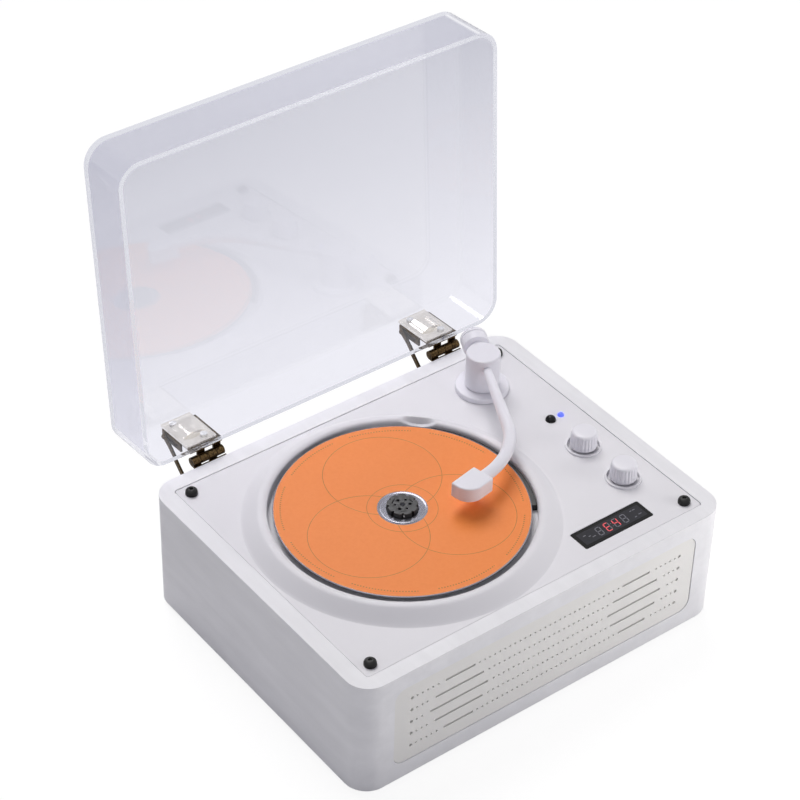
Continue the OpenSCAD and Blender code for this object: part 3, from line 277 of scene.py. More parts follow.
# %% Moulded ABS
def moulded_abs(name, low, high, grit_mm, depth, roughness):
    material, tree, surface, where = new_material(name)
    clouds = add_node(tree, "ShaderNodeTexNoise", {"Vector": where, "Scale": 22.0, "Detail": 3.0})
    add_node(tree, "ShaderNodeMix", {0: clouds.outputs["Fac"], 6: colour(low), 7: colour(high)},
             surface.inputs["Base Color"], 2, data_type="RGBA")
    grit = add_node(tree, "ShaderNodeTexNoise",
                    {"Vector": where, "Scale": 1 / (grit_mm * MM), "Detail": 2.0, "Roughness": 0.6})
    add_node(tree, "ShaderNodeBump", {"Height": grit.outputs["Fac"], "Strength": depth, "Distance": 0.0002},
             surface.inputs["Normal"])
    add_node(tree, "ShaderNodeMapRange",
             {"Value": clouds.outputs["Fac"], "To Min": roughness - 0.05, "To Max": roughness + 0.05},
             surface.inputs["Roughness"])
    settle(surface, IOR=1.53)
    return material


DECK_ABS = moulded_abs("matt_white_abs", "#e6e5e9", "#ebeaee", 0.7, 0.10, 0.5)
SMOOTH_ABS = moulded_abs("smooth_white_abs", "#eeedf4", "#f3f2f8", 1.5, 0.03, 0.3)
GRILLE_ABS = moulded_abs("warm_grey_abs", "#ecebe8", "#f2f1ee", 0.6, 0.22, 0.55)
BLACK_ABS = moulded_abs("black_abs", "#09090a", "#0f0f11", 0.8, 0.15, 0.38)
MECH_ABS = moulded_abs("glass_filled_abs", "#2c2c30", "#3a3a40", 0.5, 0.2, 0.5)
print("five ABS grades")

# %% [markdown]
# Clear acrylic bends light and lets lamps through. A ray from a lamp would get lost in refraction, so such rays
# pass a plain transparent shader instead: Light Path tells which rays they are. The colour is nearly white, but
# each wall takes a little of the light, and that gives the lid its grey-lavender tint against the white room. A
# ray that runs round and round inside a wall would end up black, so after five turns it ends in a pale glow. The
# covers over the hinges are so glossy that they mirror half of the white room, which a part of metallic gives.

# %% Clear plastics
MOST_TURNS = 5


def clear_plastic(name, tint, roughness, ior, scuffs):
    material, tree, surface, where = new_material(name)
    marks = add_node(tree, "ShaderNodeMapping", {"Vector": where, "Scale": (40, 40, 400)})
    hairlines = add_node(tree, "ShaderNodeTexNoise", {"Vector": marks.outputs[0], "Scale": 4.0, "Detail": 2.0})
    add_node(tree, "ShaderNodeMapRange",
             {"Value": hairlines.outputs["Fac"], "From Min": 0.45, "From Max": 0.75,
              "To Min": roughness, "To Max": roughness + scuffs}, surface.inputs["Roughness"])
    settle(surface, Base_Color=colour(tint), Transmission_Weight=1.0, IOR=ior)
    rays = add_node(tree, "ShaderNodeLightPath")
    through = add_node(tree, "ShaderNodeBsdfTransparent", {"Color": colour("#fbfbfd")})
    mix = add_node(tree, "ShaderNodeMixShader",
                   {0: rays.outputs["Is Shadow Ray"], 1: surface.outputs[0], 2: through.outputs[0]})
    trapped = add_node(tree, "ShaderNodeMath", {0: rays.outputs["Ray Depth"], 1: MOST_TURNS - 0.5},
                       operation="GREATER_THAN")
    # a painted glow: a ray trapped in a wall shows this pale light instead of black
    edge_glow = add_node(tree, "ShaderNodeEmission", {"Color": colour("#e3e4ea"), "Strength": 1.0})
    output = [node for node in tree.nodes if node.type == "OUTPUT_MATERIAL"][0]
    add_node(tree, "ShaderNodeMixShader", {0: trapped.outputs[0], 1: mix.outputs[0], 2: edge_glow.outputs[0]},
             output.inputs["Surface"])
    return material


ACRYLIC = clear_plastic("clear_acrylic", "#efeff5", 0.01, 1.49, 0.03)
PAD_PC = clear_plastic("bright_polycarbonate", "#f6f3ef", 0.04, 1.58, 0.08)
settle(PAD_PC.node_tree.nodes["Principled BSDF"], Metallic=0.55)
LENS_GLASS = clear_plastic("coated_lens_glass", "#a8c8f0", 0.01, 1.52, 0.01)
print("clear plastics:", ACRYLIC.name, PAD_PC.name, LENS_GLASS.name)

# %% [markdown]
# The hinges are steel under a dark bronze lacquer that has worn to brass tones on the edges. Screws, rods and
# shafts are bright steel with fine turning marks; the spindle shaft is dark steel, as painted shade in the hub's
# centre hole.

# %% Metals
def lacquered_bronze():
    material, tree, surface, where = new_material("bronze_lacquered_steel")
    wear = add_node(tree, "ShaderNodeTexNoise", {"Vector": where, "Scale": 1500.0, "Detail": 4.0})
    ramp = add_node(tree, "ShaderNodeValToRGB", {"Fac": wear.outputs["Fac"]}, surface.inputs["Base Color"])
    for stop, place, hex_code in zip(ramp.color_ramp.elements, (0.35, 0.72), ("#231913", "#77603f")):
        stop.position, stop.color = place, colour(hex_code)
    add_node(tree, "ShaderNodeBump", {"Height": wear.outputs["Fac"], "Strength": 0.15, "Distance": 0.0001},
             surface.inputs["Normal"])
    settle(surface, Metallic=1.0, Roughness=0.32)
    return material


def turned_steel(name, low, high, roughness, spacing_mm):
    material, tree, surface, where = new_material(name)
    stretch = add_node(tree, "ShaderNodeMapping", {"Vector": where, "Scale": (1, 1, 12)})
    marks = add_node(tree, "ShaderNodeTexNoise",
                     {"Vector": stretch.outputs[0], "Scale": 1 / (spacing_mm * MM) / 6, "Detail": 3.0})
    add_node(tree, "ShaderNodeMix", {0: marks.outputs["Fac"], 6: colour(low), 7: colour(high)},
             surface.inputs["Base Color"], 2, data_type="RGBA")
    add_node(tree, "ShaderNodeMapRange",
             {"Value": marks.outputs["Fac"], "To Min": roughness - 0.08, "To Max": roughness + 0.08},
             surface.inputs["Roughness"])
    settle(surface, Metallic=1.0)
    return material


BRONZE = lacquered_bronze()
BRIGHT_STEEL = turned_steel("zinc_plated_steel", "#b9babd", "#dcdcdf", 0.25, 0.3)
PRESSED_STEEL = turned_steel("pressed_steel", "#9a9b9f", "#bcbdc1", 0.38, 0.5)
# dark steel for the spindle shaft paints the shade in the hub's centre hole
SHADED_SHAFT_STEEL = turned_steel("dark_steel_painted_shade", "#1b1b1e", "#2a2a2e", 0.4, 0.3)
FERRITE = turned_steel("ferrite_magnet", "#2f2f32", "#46464a", 0.6, 0.4)
print("metals ready")

# %% [markdown]
# Rubber, cloth, paper, wood, boards and cell wrap are mostly inside, but each is still its own material: a
# viewer can open the player and look.

# %% Rubber, cloth, paper, wood and boards
def grained(name, low, high, scale, stretch, roughness, depth, **values):
    material, tree, surface, where = new_material(name)
    mapping = add_node(tree, "ShaderNodeMapping", {"Vector": where, "Scale": stretch})
    grain = add_node(tree, "ShaderNodeTexNoise", {"Vector": mapping.outputs[0], "Scale": scale, "Detail": 5.0})
    add_node(tree, "ShaderNodeMix", {0: grain.outputs["Fac"], 6: colour(low), 7: colour(high)},
             surface.inputs["Base Color"], 2, data_type="RGBA")
    add_node(tree, "ShaderNodeBump", {"Height": grain.outputs["Fac"], "Strength": depth, "Distance": 0.0002},
             surface.inputs["Normal"])
    settle(surface, Roughness=roughness, **values)
    return material


def woven_cloth():
    material, tree, surface, where = new_material("woven_dust_cloth")
    thread = 0.5 * MM
    across = add_node(tree, "ShaderNodeTexWave", {"Vector": where, "Scale": 0.314 / thread}, bands_direction="X")
    along = add_node(tree, "ShaderNodeTexWave", {"Vector": where, "Scale": 0.314 / thread}, bands_direction="Z")
    weave = add_node(tree, "ShaderNodeMath", {0: across.outputs["Fac"], 1: along.outputs["Fac"]}, operation="MULTIPLY")
    add_node(tree, "ShaderNodeMix", {0: weave.outputs[0], 6: colour("#101012"), 7: colour("#2c2c2f")},
             surface.inputs["Base Color"], 2, data_type="RGBA")
    add_node(tree, "ShaderNodeBump", {"Height": weave.outputs[0], "Strength": 0.5, "Distance": 0.0002},
             surface.inputs["Normal"])
    settle(surface, Roughness=0.9)
    return material


RUBBER = grained("black_rubber", "#050506", "#0c0c0d", 900, (1, 1, 1), 0.4, 0.15, Specular_IOR_Level=0.3)
WOOD = grained("poplar_block", "#a9835a", "#c9a878", 60, (1, 1, 0.08), 0.7, 0.3)
PAPER_CONE = grained("paper_cone", "#161617", "#26262a", 500, (1, 1, 1), 0.85, 0.4)
BOARD_LACQUER = grained("green_board_lacquer", "#0d4326", "#16603a", 120, (1, 1, 1), 0.35, 0.1)
CELL_WRAP = grained("shrink_wrap", "#2a64a8", "#3474bb", 40, (1, 1, 1), 0.3, 0.1)
CLOTH = woven_cloth()
print("soft and inner materials ready")

# %% [markdown]
# The window of the display is tinted acrylic over a dark cell. Two digits glow faintly red and the others are
# off: a segment that is off is a slightly lighter grey with a faint painted glow. The lamp is a blue diffusing lens
# that is on.

# %% Glowing parts
def glowing(name, hex_code, strength, roughness=0.3):
    material, tree, surface, where = new_material(name)
    cloud = add_node(tree, "ShaderNodeTexNoise", {"Vector": where, "Scale": 600.0})
    add_node(tree, "ShaderNodeMapRange",
             {"Value": cloud.outputs["Fac"], "To Min": strength * 0.8, "To Max": strength * 1.2},
             surface.inputs["Emission Strength"])
    settle(surface, Base_Color=colour(hex_code), Emission_Color=colour(hex_code), Roughness=roughness)
    return material


SEGMENT_ON = glowing("lit_segment", "#d8444e", 0.5)
# a segment that is off is no lamp, so its faint emission is a painted glow
SEGMENT_OFF_GLOW = glowing("off_segment_painted_glow", "#5c5c66", 0.1)
BLUE_LENS = glowing("lit_blue_lens", "#4d5cff", 1.3)
WINDOW_GLOSS = moulded_abs("tinted_window", "#050507", "#0a0a0d", 2.0, 0.01, 0.12)
CELL_GREY = moulded_abs("display_cell", "#24242a", "#2b2b32", 2.0, 0.02, 0.2)
for finish in (WINDOW_GLOSS, CELL_GREY):
    settle(finish.node_tree.nodes["Principled BSDF"], Specular_IOR_Level=0.2)
print("display materials ready")

# %% [markdown]
# A piece of this scene either keeps a solid's own mesh or stands in for it. A stand-in rides on the same moving
# body as the solid, which it hides, so it turns and slides with the real mechanism.


def stand_in(piece, *nodes):
    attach(piece, frame["nodes"][nodes[0]]["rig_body"])
    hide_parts(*nodes)
    return piece


# Large faces stay flat beside small rounds, because each corner's normal is weighted by the areas round it
def new_piece(name, mesh, *materials, crease=35):
    for material in materials:
        mesh.materials.append(material)
    mesh.shade_smooth()
    mesh.set_sharp_from_angle(angle=math.radians(crease))
    piece = linked(name, mesh)
    weighted = piece.modifiers.new("weighted", "WEIGHTED_NORMAL")
    weighted.keep_sharp = True
    shaded = evaluated_mesh(piece)
    piece.modifiers.clear()
    piece.data = shaded
    bpy.data.meshes.remove(mesh)
    return piece


def mesh_from(shell, name):
    bmesh.ops.recalc_face_normals(shell, faces=shell.faces)
    mesh = bpy.data.meshes.new(name)
    shell.to_mesh(mesh)
    shell.free()
    return mesh


def dressed(name, shell, material, *nodes, crease=35):
    return stand_in(new_piece(name, mesh_from(shell, name), material, crease=crease), *nodes)


# A solid's triangles are merged into whole faces, and then its sharp edges get a small round
def softened(node, material, width_mm, segments=2):
    shell = bmesh.new()
    shell.from_mesh(frame["nodes"][node].data)
    bmesh.ops.remove_doubles(shell, verts=shell.verts, dist=1e-6)
    bmesh.ops.dissolve_limit(shell, angle_limit=math.radians(0.5), verts=shell.verts, edges=shell.edges)
    sharp = [edge for edge in shell.edges
             if len(edge.link_faces) == 2 and edge.calc_face_angle() > math.radians(40)]
    bmesh.ops.bevel(shell, geom=sharp, offset=width_mm * MM, segments=segments, profile=0.5,
                    affect="EDGES", clamp_overlap=True)
    return dressed(node + "_dressed", shell, material, node)


# %% Turned pieces
# A profile of (radius, height) in millimetres goes round a centre
def turned(profile, centre, segments=96, ripple=None, shell=None, closed=False):
    shell = bmesh.new() if shell is None else shell
    rings = []
    for radius, height in profile:
        ring = []
        for step in range(segments if radius > 0 else 1):
            turn = math.tau * step / segments
            reach = ripple(radius, height, turn) if ripple else radius
            ring.append(shell.verts.new(Vector(centre) + Vector(
                (reach * math.cos(turn) * MM, reach * math.sin(turn) * MM, height * MM))))
        rings.append(ring)
    pairs = list(zip(rings, rings[1:])) + ([(rings[-1], rings[0])] if closed else [])
    for low, high in pairs:
        count = max(len(low), len(high))
        for step in range(count if count > 1 else 0):
            after = (step + 1) % count
            corners = [low[step % len(low)], low[after % len(low)], high[after % len(high)], high[step % len(high)]]
            shell.faces.new(list(dict.fromkeys(corners)))
    return shell


print("turned pieces have 96 sides unless they say otherwise")

# %% Plates and outlines
# A 2D curve fills between outlines, so inner outlines become holes
def plate(name, outlines, low, high, edge_mm):
    flat = bpy.data.curves.new(name, "CURVE")
    flat.dimensions, flat.fill_mode = "2D", "BOTH"
    edge = edge_mm * MM
    flat.extrude, flat.bevel_depth, flat.offset, flat.bevel_resolution = (high - low) / 2 - edge, edge, -edge, 2
    for outline in outlines:
        spline = flat.splines.new("POLY")
        spline.points.add(len(outline) - 1)
        for point, corner in zip(spline.points, outline):
            point.co = (corner[0], corner[1], 0, 1)
        spline.use_cyclic_u = True
    drawing = linked(name, flat)
    mesh = evaluated_mesh(drawing)
    bpy.data.objects.remove(drawing)
    mesh.transform(Matrix.Translation((0, 0, (low + high) / 2)))
    shell = bmesh.new()
    shell.from_mesh(mesh)
    bmesh.ops.remove_doubles(shell, verts=shell.verts, dist=2e-6)
    return shell


def ring_outline(centre, radius_mm, count=64):
    return [around(centre, radius_mm, math.tau * i / count) for i in range(count)]


def box_outline(low, high, radius_mm, count=8):
    radius, points = radius_mm * MM, []
    for corner, (sx, sy) in enumerate(((1, 1), (-1, 1), (-1, -1), (1, -1))):
        centre_x = high[0] - radius if sx > 0 else low[0] + radius
        centre_y = high[1] - radius if sy > 0 else low[1] + radius
        for i in range(count + 1):
            turn = math.pi / 2 * (corner + i / count)
            points.append((centre_x + radius * math.cos(turn), centre_y + radius * math.sin(turn)))
    return points


print(len(box_outline(*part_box("display_window"), 1.0)), "corners in a rounded outline")

# %% [markdown]
# The box cabinet keeps its CAD shape. A router and sandpaper leave its edges slightly round, and paint makes
# them rounder, so its sharp edges get a small bevel that catches the light.

# %% Cabinet
cabinet = softened("cabinet_shell", PAINTED_MDF, 0.7, segments=3)
print(cabinet.name, len(cabinet.data.polygons), "faces")

# %% [markdown]
# The deck is one moulding: a flat plate with holes, a raised collar round the disc and two raised rings round
# the knobs. The plate is cut from outlines. The collar is turned from a profile with a soft outer slope, and
# a smooth dip in its inner lip is the notch for a fingertip. Away from the black liner the lip leans inwards
# a little, so that it nearly reaches the disc.

# %% Deck plate
PLATE_LOW, PLATE_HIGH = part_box("deck_panel")
KNOBS = [middle("volume_knob"), middle("select_knob")]
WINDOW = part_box("display_window")
DECK_THICK, PLAY = 2.5 * MM, Vector((0.1 * MM,) * 3)
well = [around(SPINDLE, 16, math.radians(a)) for a in range(-219, 40, 6)]
well += [(SPINDLE.x + 12.5 * MM, SPINDLE.y + 60.5 * MM), (SPINDLE.x - 12.5 * MM, SPINDLE.y + 60.5 * MM)]
outlines = [box_outline(PLATE_LOW, PLATE_HIGH, 1.5), well,
            box_outline(WINDOW[0] - PLAY, WINDOW[1] + PLAY, 0.9),
            ring_outline(POST, 5.05), ring_outline(middle("remote_sensor"), 2.6, 32),
            ring_outline(middle("status_lamp"), 1.6, 24)]
outlines += [ring_outline(knob, 7.75) for knob in KNOBS]
deck = plate("deck", outlines, DECK_Z - DECK_THICK, DECK_Z, 0.25)
print("plate from", len(outlines), "outlines")

# %% Collar and knob rings
NOTCH, NOTCH_FLOOR, NOTCH_HALF, CREST = math.radians(46), 2.6, 9.0, 66.3
LEAN, LEAN_FROM, LEAN_TO, LEAN_RADIUS = 0.7, math.radians(75), math.radians(330), 64.2
collar_profile = [(74.6, -0.3), (74.6, 0.0), (74.0, 0.25), (73.2, 0.8), (72.0, 1.75), (70.4, 3.0), (69.0, 4.1),
                  (67.9, 4.95), (67.2, 5.4), (66.5, 5.68), (65.7, 5.8), (64.8, 5.76), (64.1, 5.55), (63.5, 5.1),
                  (63.15, 4.5), (63.0, 3.8), (63.0, -0.3)]


def collar_height(radius, height, turn):
    away = abs((turn - NOTCH + math.pi) % math.tau - math.pi) * 64
    depth = max(0.0, 1 - (away / NOTCH_HALF) ** 2) if radius < CREST and height > 1 else 0.0
    return height - (height - NOTCH_FLOOR) * depth * min(1.0, (CREST - radius) / 1.6)


first = len(deck.verts)
turned(collar_profile, (SPINDLE.x, SPINDLE.y, DECK_Z), 256, shell=deck, closed=True)
deck.verts.ensure_lookup_table()
for vert in deck.verts[first:]:
    spoke = Vector((vert.co.x - SPINDLE.x, vert.co.y - SPINDLE.y))
    height = (vert.co.z - DECK_Z) / MM
    turn = math.atan2(spoke.y, spoke.x) % math.tau
    if spoke.length < LEAN_RADIUS * MM and LEAN_FROM < turn < LEAN_TO:
        ease = min(1.0, (turn - LEAN_FROM) / 0.4, (LEAN_TO - turn) / 0.4)
        vert.co.xy -= spoke.normalized() * LEAN * MM * ease * (LEAN_RADIUS - spoke.length / MM) / 1.2
    vert.co.z = DECK_Z + collar_height(spoke.length / MM, height, turn) * MM
ring_profile = [(3.6, -1.9), (3.6, -1.2), (7.75, -1.2), (7.75, 0.75), (7.9, 0.95), (8.15, 1.0), (8.5, 1.0),
                (8.75, 0.92), (8.9, 0.7), (8.9, -0.3), (8.3, -0.3), (8.3, -1.9)]
for knob in KNOBS:
    turned(ring_profile, (knob.x, knob.y, DECK_Z), 96, shell=deck, closed=True)
deck_piece = dressed("deck_moulding", deck, DECK_ABS, "deck_panel", "well_collar", crease=30)
print(deck_piece.name, len(deck_piece.data.polygons), "faces")

# %% [markdown]
# Small things that come in numbers, such as the plugs over the screws and the feet, are one mesh on many
# points. This geometry-node tree takes a pattern piece and a material, and puts the pattern on every vertex of
# the mesh that carries the modifier.

# %% Pattern on points
def new_geometry_tree(name, inputs, output):
    tree = bpy.data.node_groups.new(name, "GeometryNodeTree")
    for label, kind in inputs.items():
        tree.interface.new_socket(label, in_out="INPUT", socket_type="NodeSocket" + kind)
    tree.interface.new_socket(output, in_out="OUTPUT", socket_type="NodeSocketGeometry")
    return tree, add_node(tree, "NodeGroupInput").outputs


def pattern_tree():
    tree, given = new_geometry_tree(
        "pattern_on_points", {"Points": "Geometry", "Pattern": "Object", "Size": "Float", "Finish": "Material"},
        "Pieces")
    pattern = add_node(tree, "GeometryNodeObjectInfo", {"Object": given["Pattern"]})
    placed = add_node(tree, "GeometryNodeInstanceOnPoints",
                      {"Points": given["Points"], "Instance": pattern.outputs["Geometry"], "Scale": given["Size"]})
    real = add_node(tree, "GeometryNodeRealizeInstances", {"Geometry": placed.outputs[0]})
    done = add_node(tree, "GeometryNodeSetMaterial", {"Geometry": real.outputs[0], "Material": given["Finish"]})
    add_node(tree, "NodeGroupOutput", {"Pieces": done.outputs[0]})
    return tree


PATTERN = pattern_tree()


def grown(name, mesh, tree, inputs, crease=35):
    carrier = linked(name, mesh)
    modifier = carrier.modifiers.new("grow", "NODES")
    modifier.node_group = tree
    for socket in tree.interface.items_tree:
        if socket.item_type == "SOCKET" and socket.in_out == "INPUT" and socket.name in inputs:
            modifier[socket.identifier] = inputs[socket.name]
    result = evaluated_mesh(carrier)
    bpy.data.objects.remove(carrier)
    return new_piece(name, result, crease=crease)


def on_points(name, shell, points, material, crease=35):
    model = linked(name + "_pattern", mesh_from(shell, name + "_pattern"))
    spots = bpy.data.meshes.new(name)
    spots.from_pydata([tuple(point) for point in points], [], [])
    piece = grown(name, spots, PATTERN, {"Pattern": model, "Size": 1.0, "Finish": material}, crease)
    bpy.data.objects.remove(model)
    return piece


def corners_of(node, radius_mm, z):
    low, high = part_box(node)
    inset = radius_mm * MM
    return [(x, y, z) for x in (low.x + inset, high.x - inset) for y in (low.y + inset, high.y - inset)]


print("tree", PATTERN.name, "with", len(PATTERN.nodes), "nodes")

# %% Plugs and feet
plug = turned([(0, -0.2), (3.0, -0.2), (3.0, 0.9), (2.93, 1.5), (2.7, 2.1), (2.3, 2.55), (1.75, 2.85), (1.3, 2.95),
               (1.05, 2.9), (0.9, 2.6), (0.8, 2.2), (0, 2.1)], (0, 0, 0), 48)
plugs = stand_in(on_points("plugs", plug, corners_of("screw_plugs", 3.0, DECK_Z), RUBBER), "screw_plugs")
foot = turned([(0, 0), (5.9, 0), (6.25, 0.1), (6.4, 0.35), (6.55, 0.5), (7, 0.62), (7, 2), (0, 2)], (0, 0, 0), 64)
feet = stand_in(on_points("feet", foot, corners_of("rubber_feet", 7.0, 0.0), RUBBER), "rubber_feet")
print(plugs.name, feet.name)

# %% [markdown]
# The front panel is a thin moulding with rows of tiny holes, and slots in front of the two loudspeakers. It
# follows a rule, so geometry nodes make it: a grid of points loses those that lie in a slot, each point left
# gets a small circle, each slot a long loop, and one fill between all the loops gives the perforated face.

# %% Sizes of the panel
COLUMNS, ROWS = 55, 5
PANEL_SIZES = {"Width": 0.0, "Height": 0.0, "Corner": 0.0058, "Thickness": 0.0, "Row pitch": 0.00735,
               "Hole pitch": 0.0029, "Hole radius": 0.00055, "End hole radius": 0.0009, "Slot place": 0.0515,
               "Slot half": 0.0163, "Slot width": 0.0012}
# Each line gives a new length its name, from two lengths or numbers that are there already
PANEL_SUMS = (
    ("across", "MULTIPLY", "Hole pitch", COLUMNS - 1), ("up", "MULTIPLY", "Row pitch", ROWS - 1),
    ("side", "ABSOLUTE", "x", 0), ("height", "ABSOLUTE", "y", 0), ("rows", "DIVIDE", "height", "Row pitch"),
    ("row", "ROUND", "rows", 0), ("outer", "GREATER_THAN", "row", 1.5),
    ("outer step", "MULTIPLY", "outer", 2.5 * MM), ("row step", "MULTIPLY", "row", 2.7 * MM),
    ("inner reach", "SUBTRACT", "Slot half", "row step"), ("reach", "SUBTRACT", "inner reach", "outer step"),
    ("aside", "SUBTRACT", "side", "Slot place"), ("from slot", "ABSOLUTE", "aside", 0),
    ("margin", "MULTIPLY", "Slot width", 1.8), ("slot end", "ADD", "reach", "margin"),
    ("in slot", "LESS_THAN", "from slot", "slot end"), ("last hole", "MULTIPLY", "Hole pitch", COLUMNS / 2 - 1),
    ("at end", "GREATER_THAN", "side", "last hole"), ("more", "SUBTRACT", "End hole radius", "Hole radius"),
    ("wide", "MULTIPLY", "at end", "more"), ("radius", "ADD", "Hole radius", "wide"),
    ("apart", "MULTIPLY", "Slot place", 2))
print(len(PANEL_SUMS), "sums for", COLUMNS * ROWS, "places")

# %% Perforated panel
def grille_tree():
    tree, given = new_geometry_tree(
        "perforated_panel", {"Geometry": "Geometry", **dict.fromkeys(PANEL_SIZES, "Float"), "Finish": "Material"},
        "Panel")
    edge = add_node(tree, "GeometryNodeCurvePrimitiveQuadrilateral",
                    {"Width": given["Width"], "Height": given["Height"]})
    edge = add_node(tree, "GeometryNodeFilletCurve",
                    {"Curve": edge.outputs[0], "Radius": given["Corner"], "Count": 10}, mode="POLY")
    spot = add_node(tree, "ShaderNodeSeparateXYZ",
                    {0: add_node(tree, "GeometryNodeInputPosition").outputs[0]}).outputs
    known = {"x": spot["X"], "y": spot["Y"], **{name: given[name] for name in PANEL_SIZES}}
    for name, operation, first, second in PANEL_SUMS:
        known[name] = add_node(tree, "ShaderNodeMath", {0: known.get(first, first), 1: known.get(second, second)},
                               operation=operation).outputs[0]
    grid = add_node(tree, "GeometryNodeMeshGrid", {"Size X": known["across"], "Size Y": known["up"],
                                                   "Vertices X": COLUMNS, "Vertices Y": ROWS})
    kept = add_node(tree, "GeometryNodeDeleteGeometry", {"Geometry": grid.outputs[0], "Selection": known["in slot"]})
    hole = add_node(tree, "GeometryNodeCurvePrimitiveCircle", {"Resolution": 10, "Radius": 1.0}, mode="RADIUS")
    holes = add_node(tree, "GeometryNodeInstanceOnPoints",
                     {"Points": kept.outputs[0], "Instance": hole.outputs[0], "Scale": known["radius"]})
    slot_spots = add_node(tree, "GeometryNodeMeshGrid", {"Size X": known["apart"], "Size Y": known["up"],
                                                         "Vertices X": 2, "Vertices Y": ROWS})
    loop = add_node(tree, "GeometryNodeCurvePrimitiveQuadrilateral",
                    {"Width": 2.0, "Height": given["Slot width"]})
    stretch = add_node(tree, "ShaderNodeCombineXYZ", {"X": known["reach"], "Y": 1.0, "Z": 1.0})
    slots = add_node(tree, "GeometryNodeInstanceOnPoints",
                     {"Points": slot_spots.outputs[0], "Instance": loop.outputs[0], "Scale": stretch.outputs[0]})
    cuts = [add_node(tree, "GeometryNodeRealizeInstances", {"Geometry": item.outputs[0]}) for item in (holes, slots)]
    loops = add_node(tree, "GeometryNodeJoinGeometry")
    for item in (edge, *cuts):
        tree.links.new(item.outputs[0], loops.inputs[0])
    face = add_node(tree, "GeometryNodeFillCurve", {"Curve": loops.outputs[0]}, mode="TRIANGLES")
    raised = add_node(tree, "GeometryNodeExtrudeMesh",
                      {"Mesh": face.outputs[0], "Offset Scale": given["Thickness"], "Individual": False}, mode="FACES")
    back = add_node(tree, "GeometryNodeFlipFaces", {"Mesh": face.outputs[0]})
    whole = add_node(tree, "GeometryNodeJoinGeometry")
    for item in (raised, back):
        tree.links.new(item.outputs[0], whole.inputs[0])
    welded = add_node(tree, "GeometryNodeMergeByDistance", {"Geometry": whole.outputs[0], "Distance": 1e-6})
    real = add_node(tree, "GeometryNodeRealizeInstances", {"Geometry": welded.outputs[0]})
    done = add_node(tree, "GeometryNodeSetMaterial", {"Geometry": real.outputs[0], "Material": given["Finish"]})
    add_node(tree, "NodeGroupOutput", {"Panel": done.outputs[0]})
    return tree


grille = grown("front_panel", bpy.data.meshes.new("front_panel"), grille_tree(),
               {**PANEL_SIZES, "Finish": GRILLE_ABS, "Width": size("front_grille").x,
                "Height": size("front_grille").z, "Thickness": size("front_grille").y}, crease=30)
grille.data.transform(Matrix.Rotation(math.radians(90), 4, "X"))
panel = middle("front_grille")
grille.data.transform(Matrix.Translation((0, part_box("front_grille")[1].y, panel.z)))
stand_in(grille, "front_grille")
print(grille.name, len(grille.data.polygons), "faces")

# %% [markdown]
# The tonearm only looks the part: its post is turned, its tube is bent from a taper, and its headshell is a
# slab with one round corner. Each is moulded in smooth white ABS with softly broken edges.

# %% Tonearm post and base
post_low, post_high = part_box("tonearm_post")
tall = (post_high.z - post_low.z) / MM
post_profile = [(0, 0), (8.3, 0), (8.5, 0.2), (8.5, tall - 1.0), (8.42, tall - 0.62), (8.2, tall - 0.27),
                (7.85, tall - 0.06), (7.4, tall), (0, tall)]
dressed("arm_post", turned(post_profile, (POST.x, POST.y, post_low.z), 128), SMOOTH_ABS, "tonearm_post")
flange_profile = [(3.05, -5.4), (5.0, -5.4), (5.0, 0), (13.2, 0), (13.4, 0.15), (13.4, 1.9), (13.25, 2.35),
                  (12.9, 2.62), (12.4, 2.7), (3.05, 2.7)]
dressed("arm_base", turned(flange_profile, (POST.x, POST.y, DECK_Z), 128, closed=True), SMOOTH_ABS, "tonearm_base")
print("post", round(tall, 1), "mm tall")

# %% Tonearm tube
HEADING = math.radians(244.5)
START, RUN, BEND_R, BEND, LAST = 5.5, 49.9, 41.9, math.radians(53.5), 5.9
THIN, TAPER = 2.1, 0.9
ARM_Z = DECK_Z + 17 * MM


def arm_point(along, aside, rise=0.0):
    forward = Vector((math.cos(HEADING), math.sin(HEADING), 0))
    right = Vector((forward.y, -forward.x, 0))
    return Vector((POST.x, POST.y, ARM_Z)) + (forward * along + right * aside + Vector((0, 0, rise))) * MM


path, radii = [], []
for i in range(13):
    path.append(arm_point(START + (RUN - START) * i / 12, 0))
    radii.append(THIN + TAPER * i / 12)
for i in range(1, 33):
    turn = BEND * i / 32
    path.append(arm_point(RUN + BEND_R * math.sin(turn), BEND_R * (1 - math.cos(turn))))
END = HEADING - BEND
forward_end = Vector((math.cos(END), math.sin(END), 0))
path.append(path[-1] + forward_end * LAST * MM)
radii += [THIN + TAPER] * (len(path) - len(radii))


# Side faces join each ring of corners to the next, and a cap closes each end
def skinned(shell, rings):
    shell.faces.new(rings[0])
    shell.faces.new(rings[-1])
    for low, high in zip(rings, rings[1:]):
        for i in range(len(low)):
            j = (i + 1) % len(low)
            shell.faces.new((low[i], low[j], high[j], high[i]))
    return shell


def swept(path, radii, sides=40):
    shell, rings = bmesh.new(), []
    for i, spot in enumerate(path):
        ahead = (path[min(i + 1, len(path) - 1)] - path[max(i - 1, 0)]).normalized()
        across = ahead.cross(Vector((0, 0, 1))).normalized()
        up = across.cross(ahead)
        rings.append([shell.verts.new(spot + (across * math.cos(math.tau * j / sides)
                                              + up * math.sin(math.tau * j / sides)) * radii[i] * MM)
                      for j in range(sides)])
    return skinned(shell, rings)


dressed("arm_tube", swept(path, radii), SMOOTH_ABS, "tonearm_tube", crease=50)
print("tube", len(path), "rings")

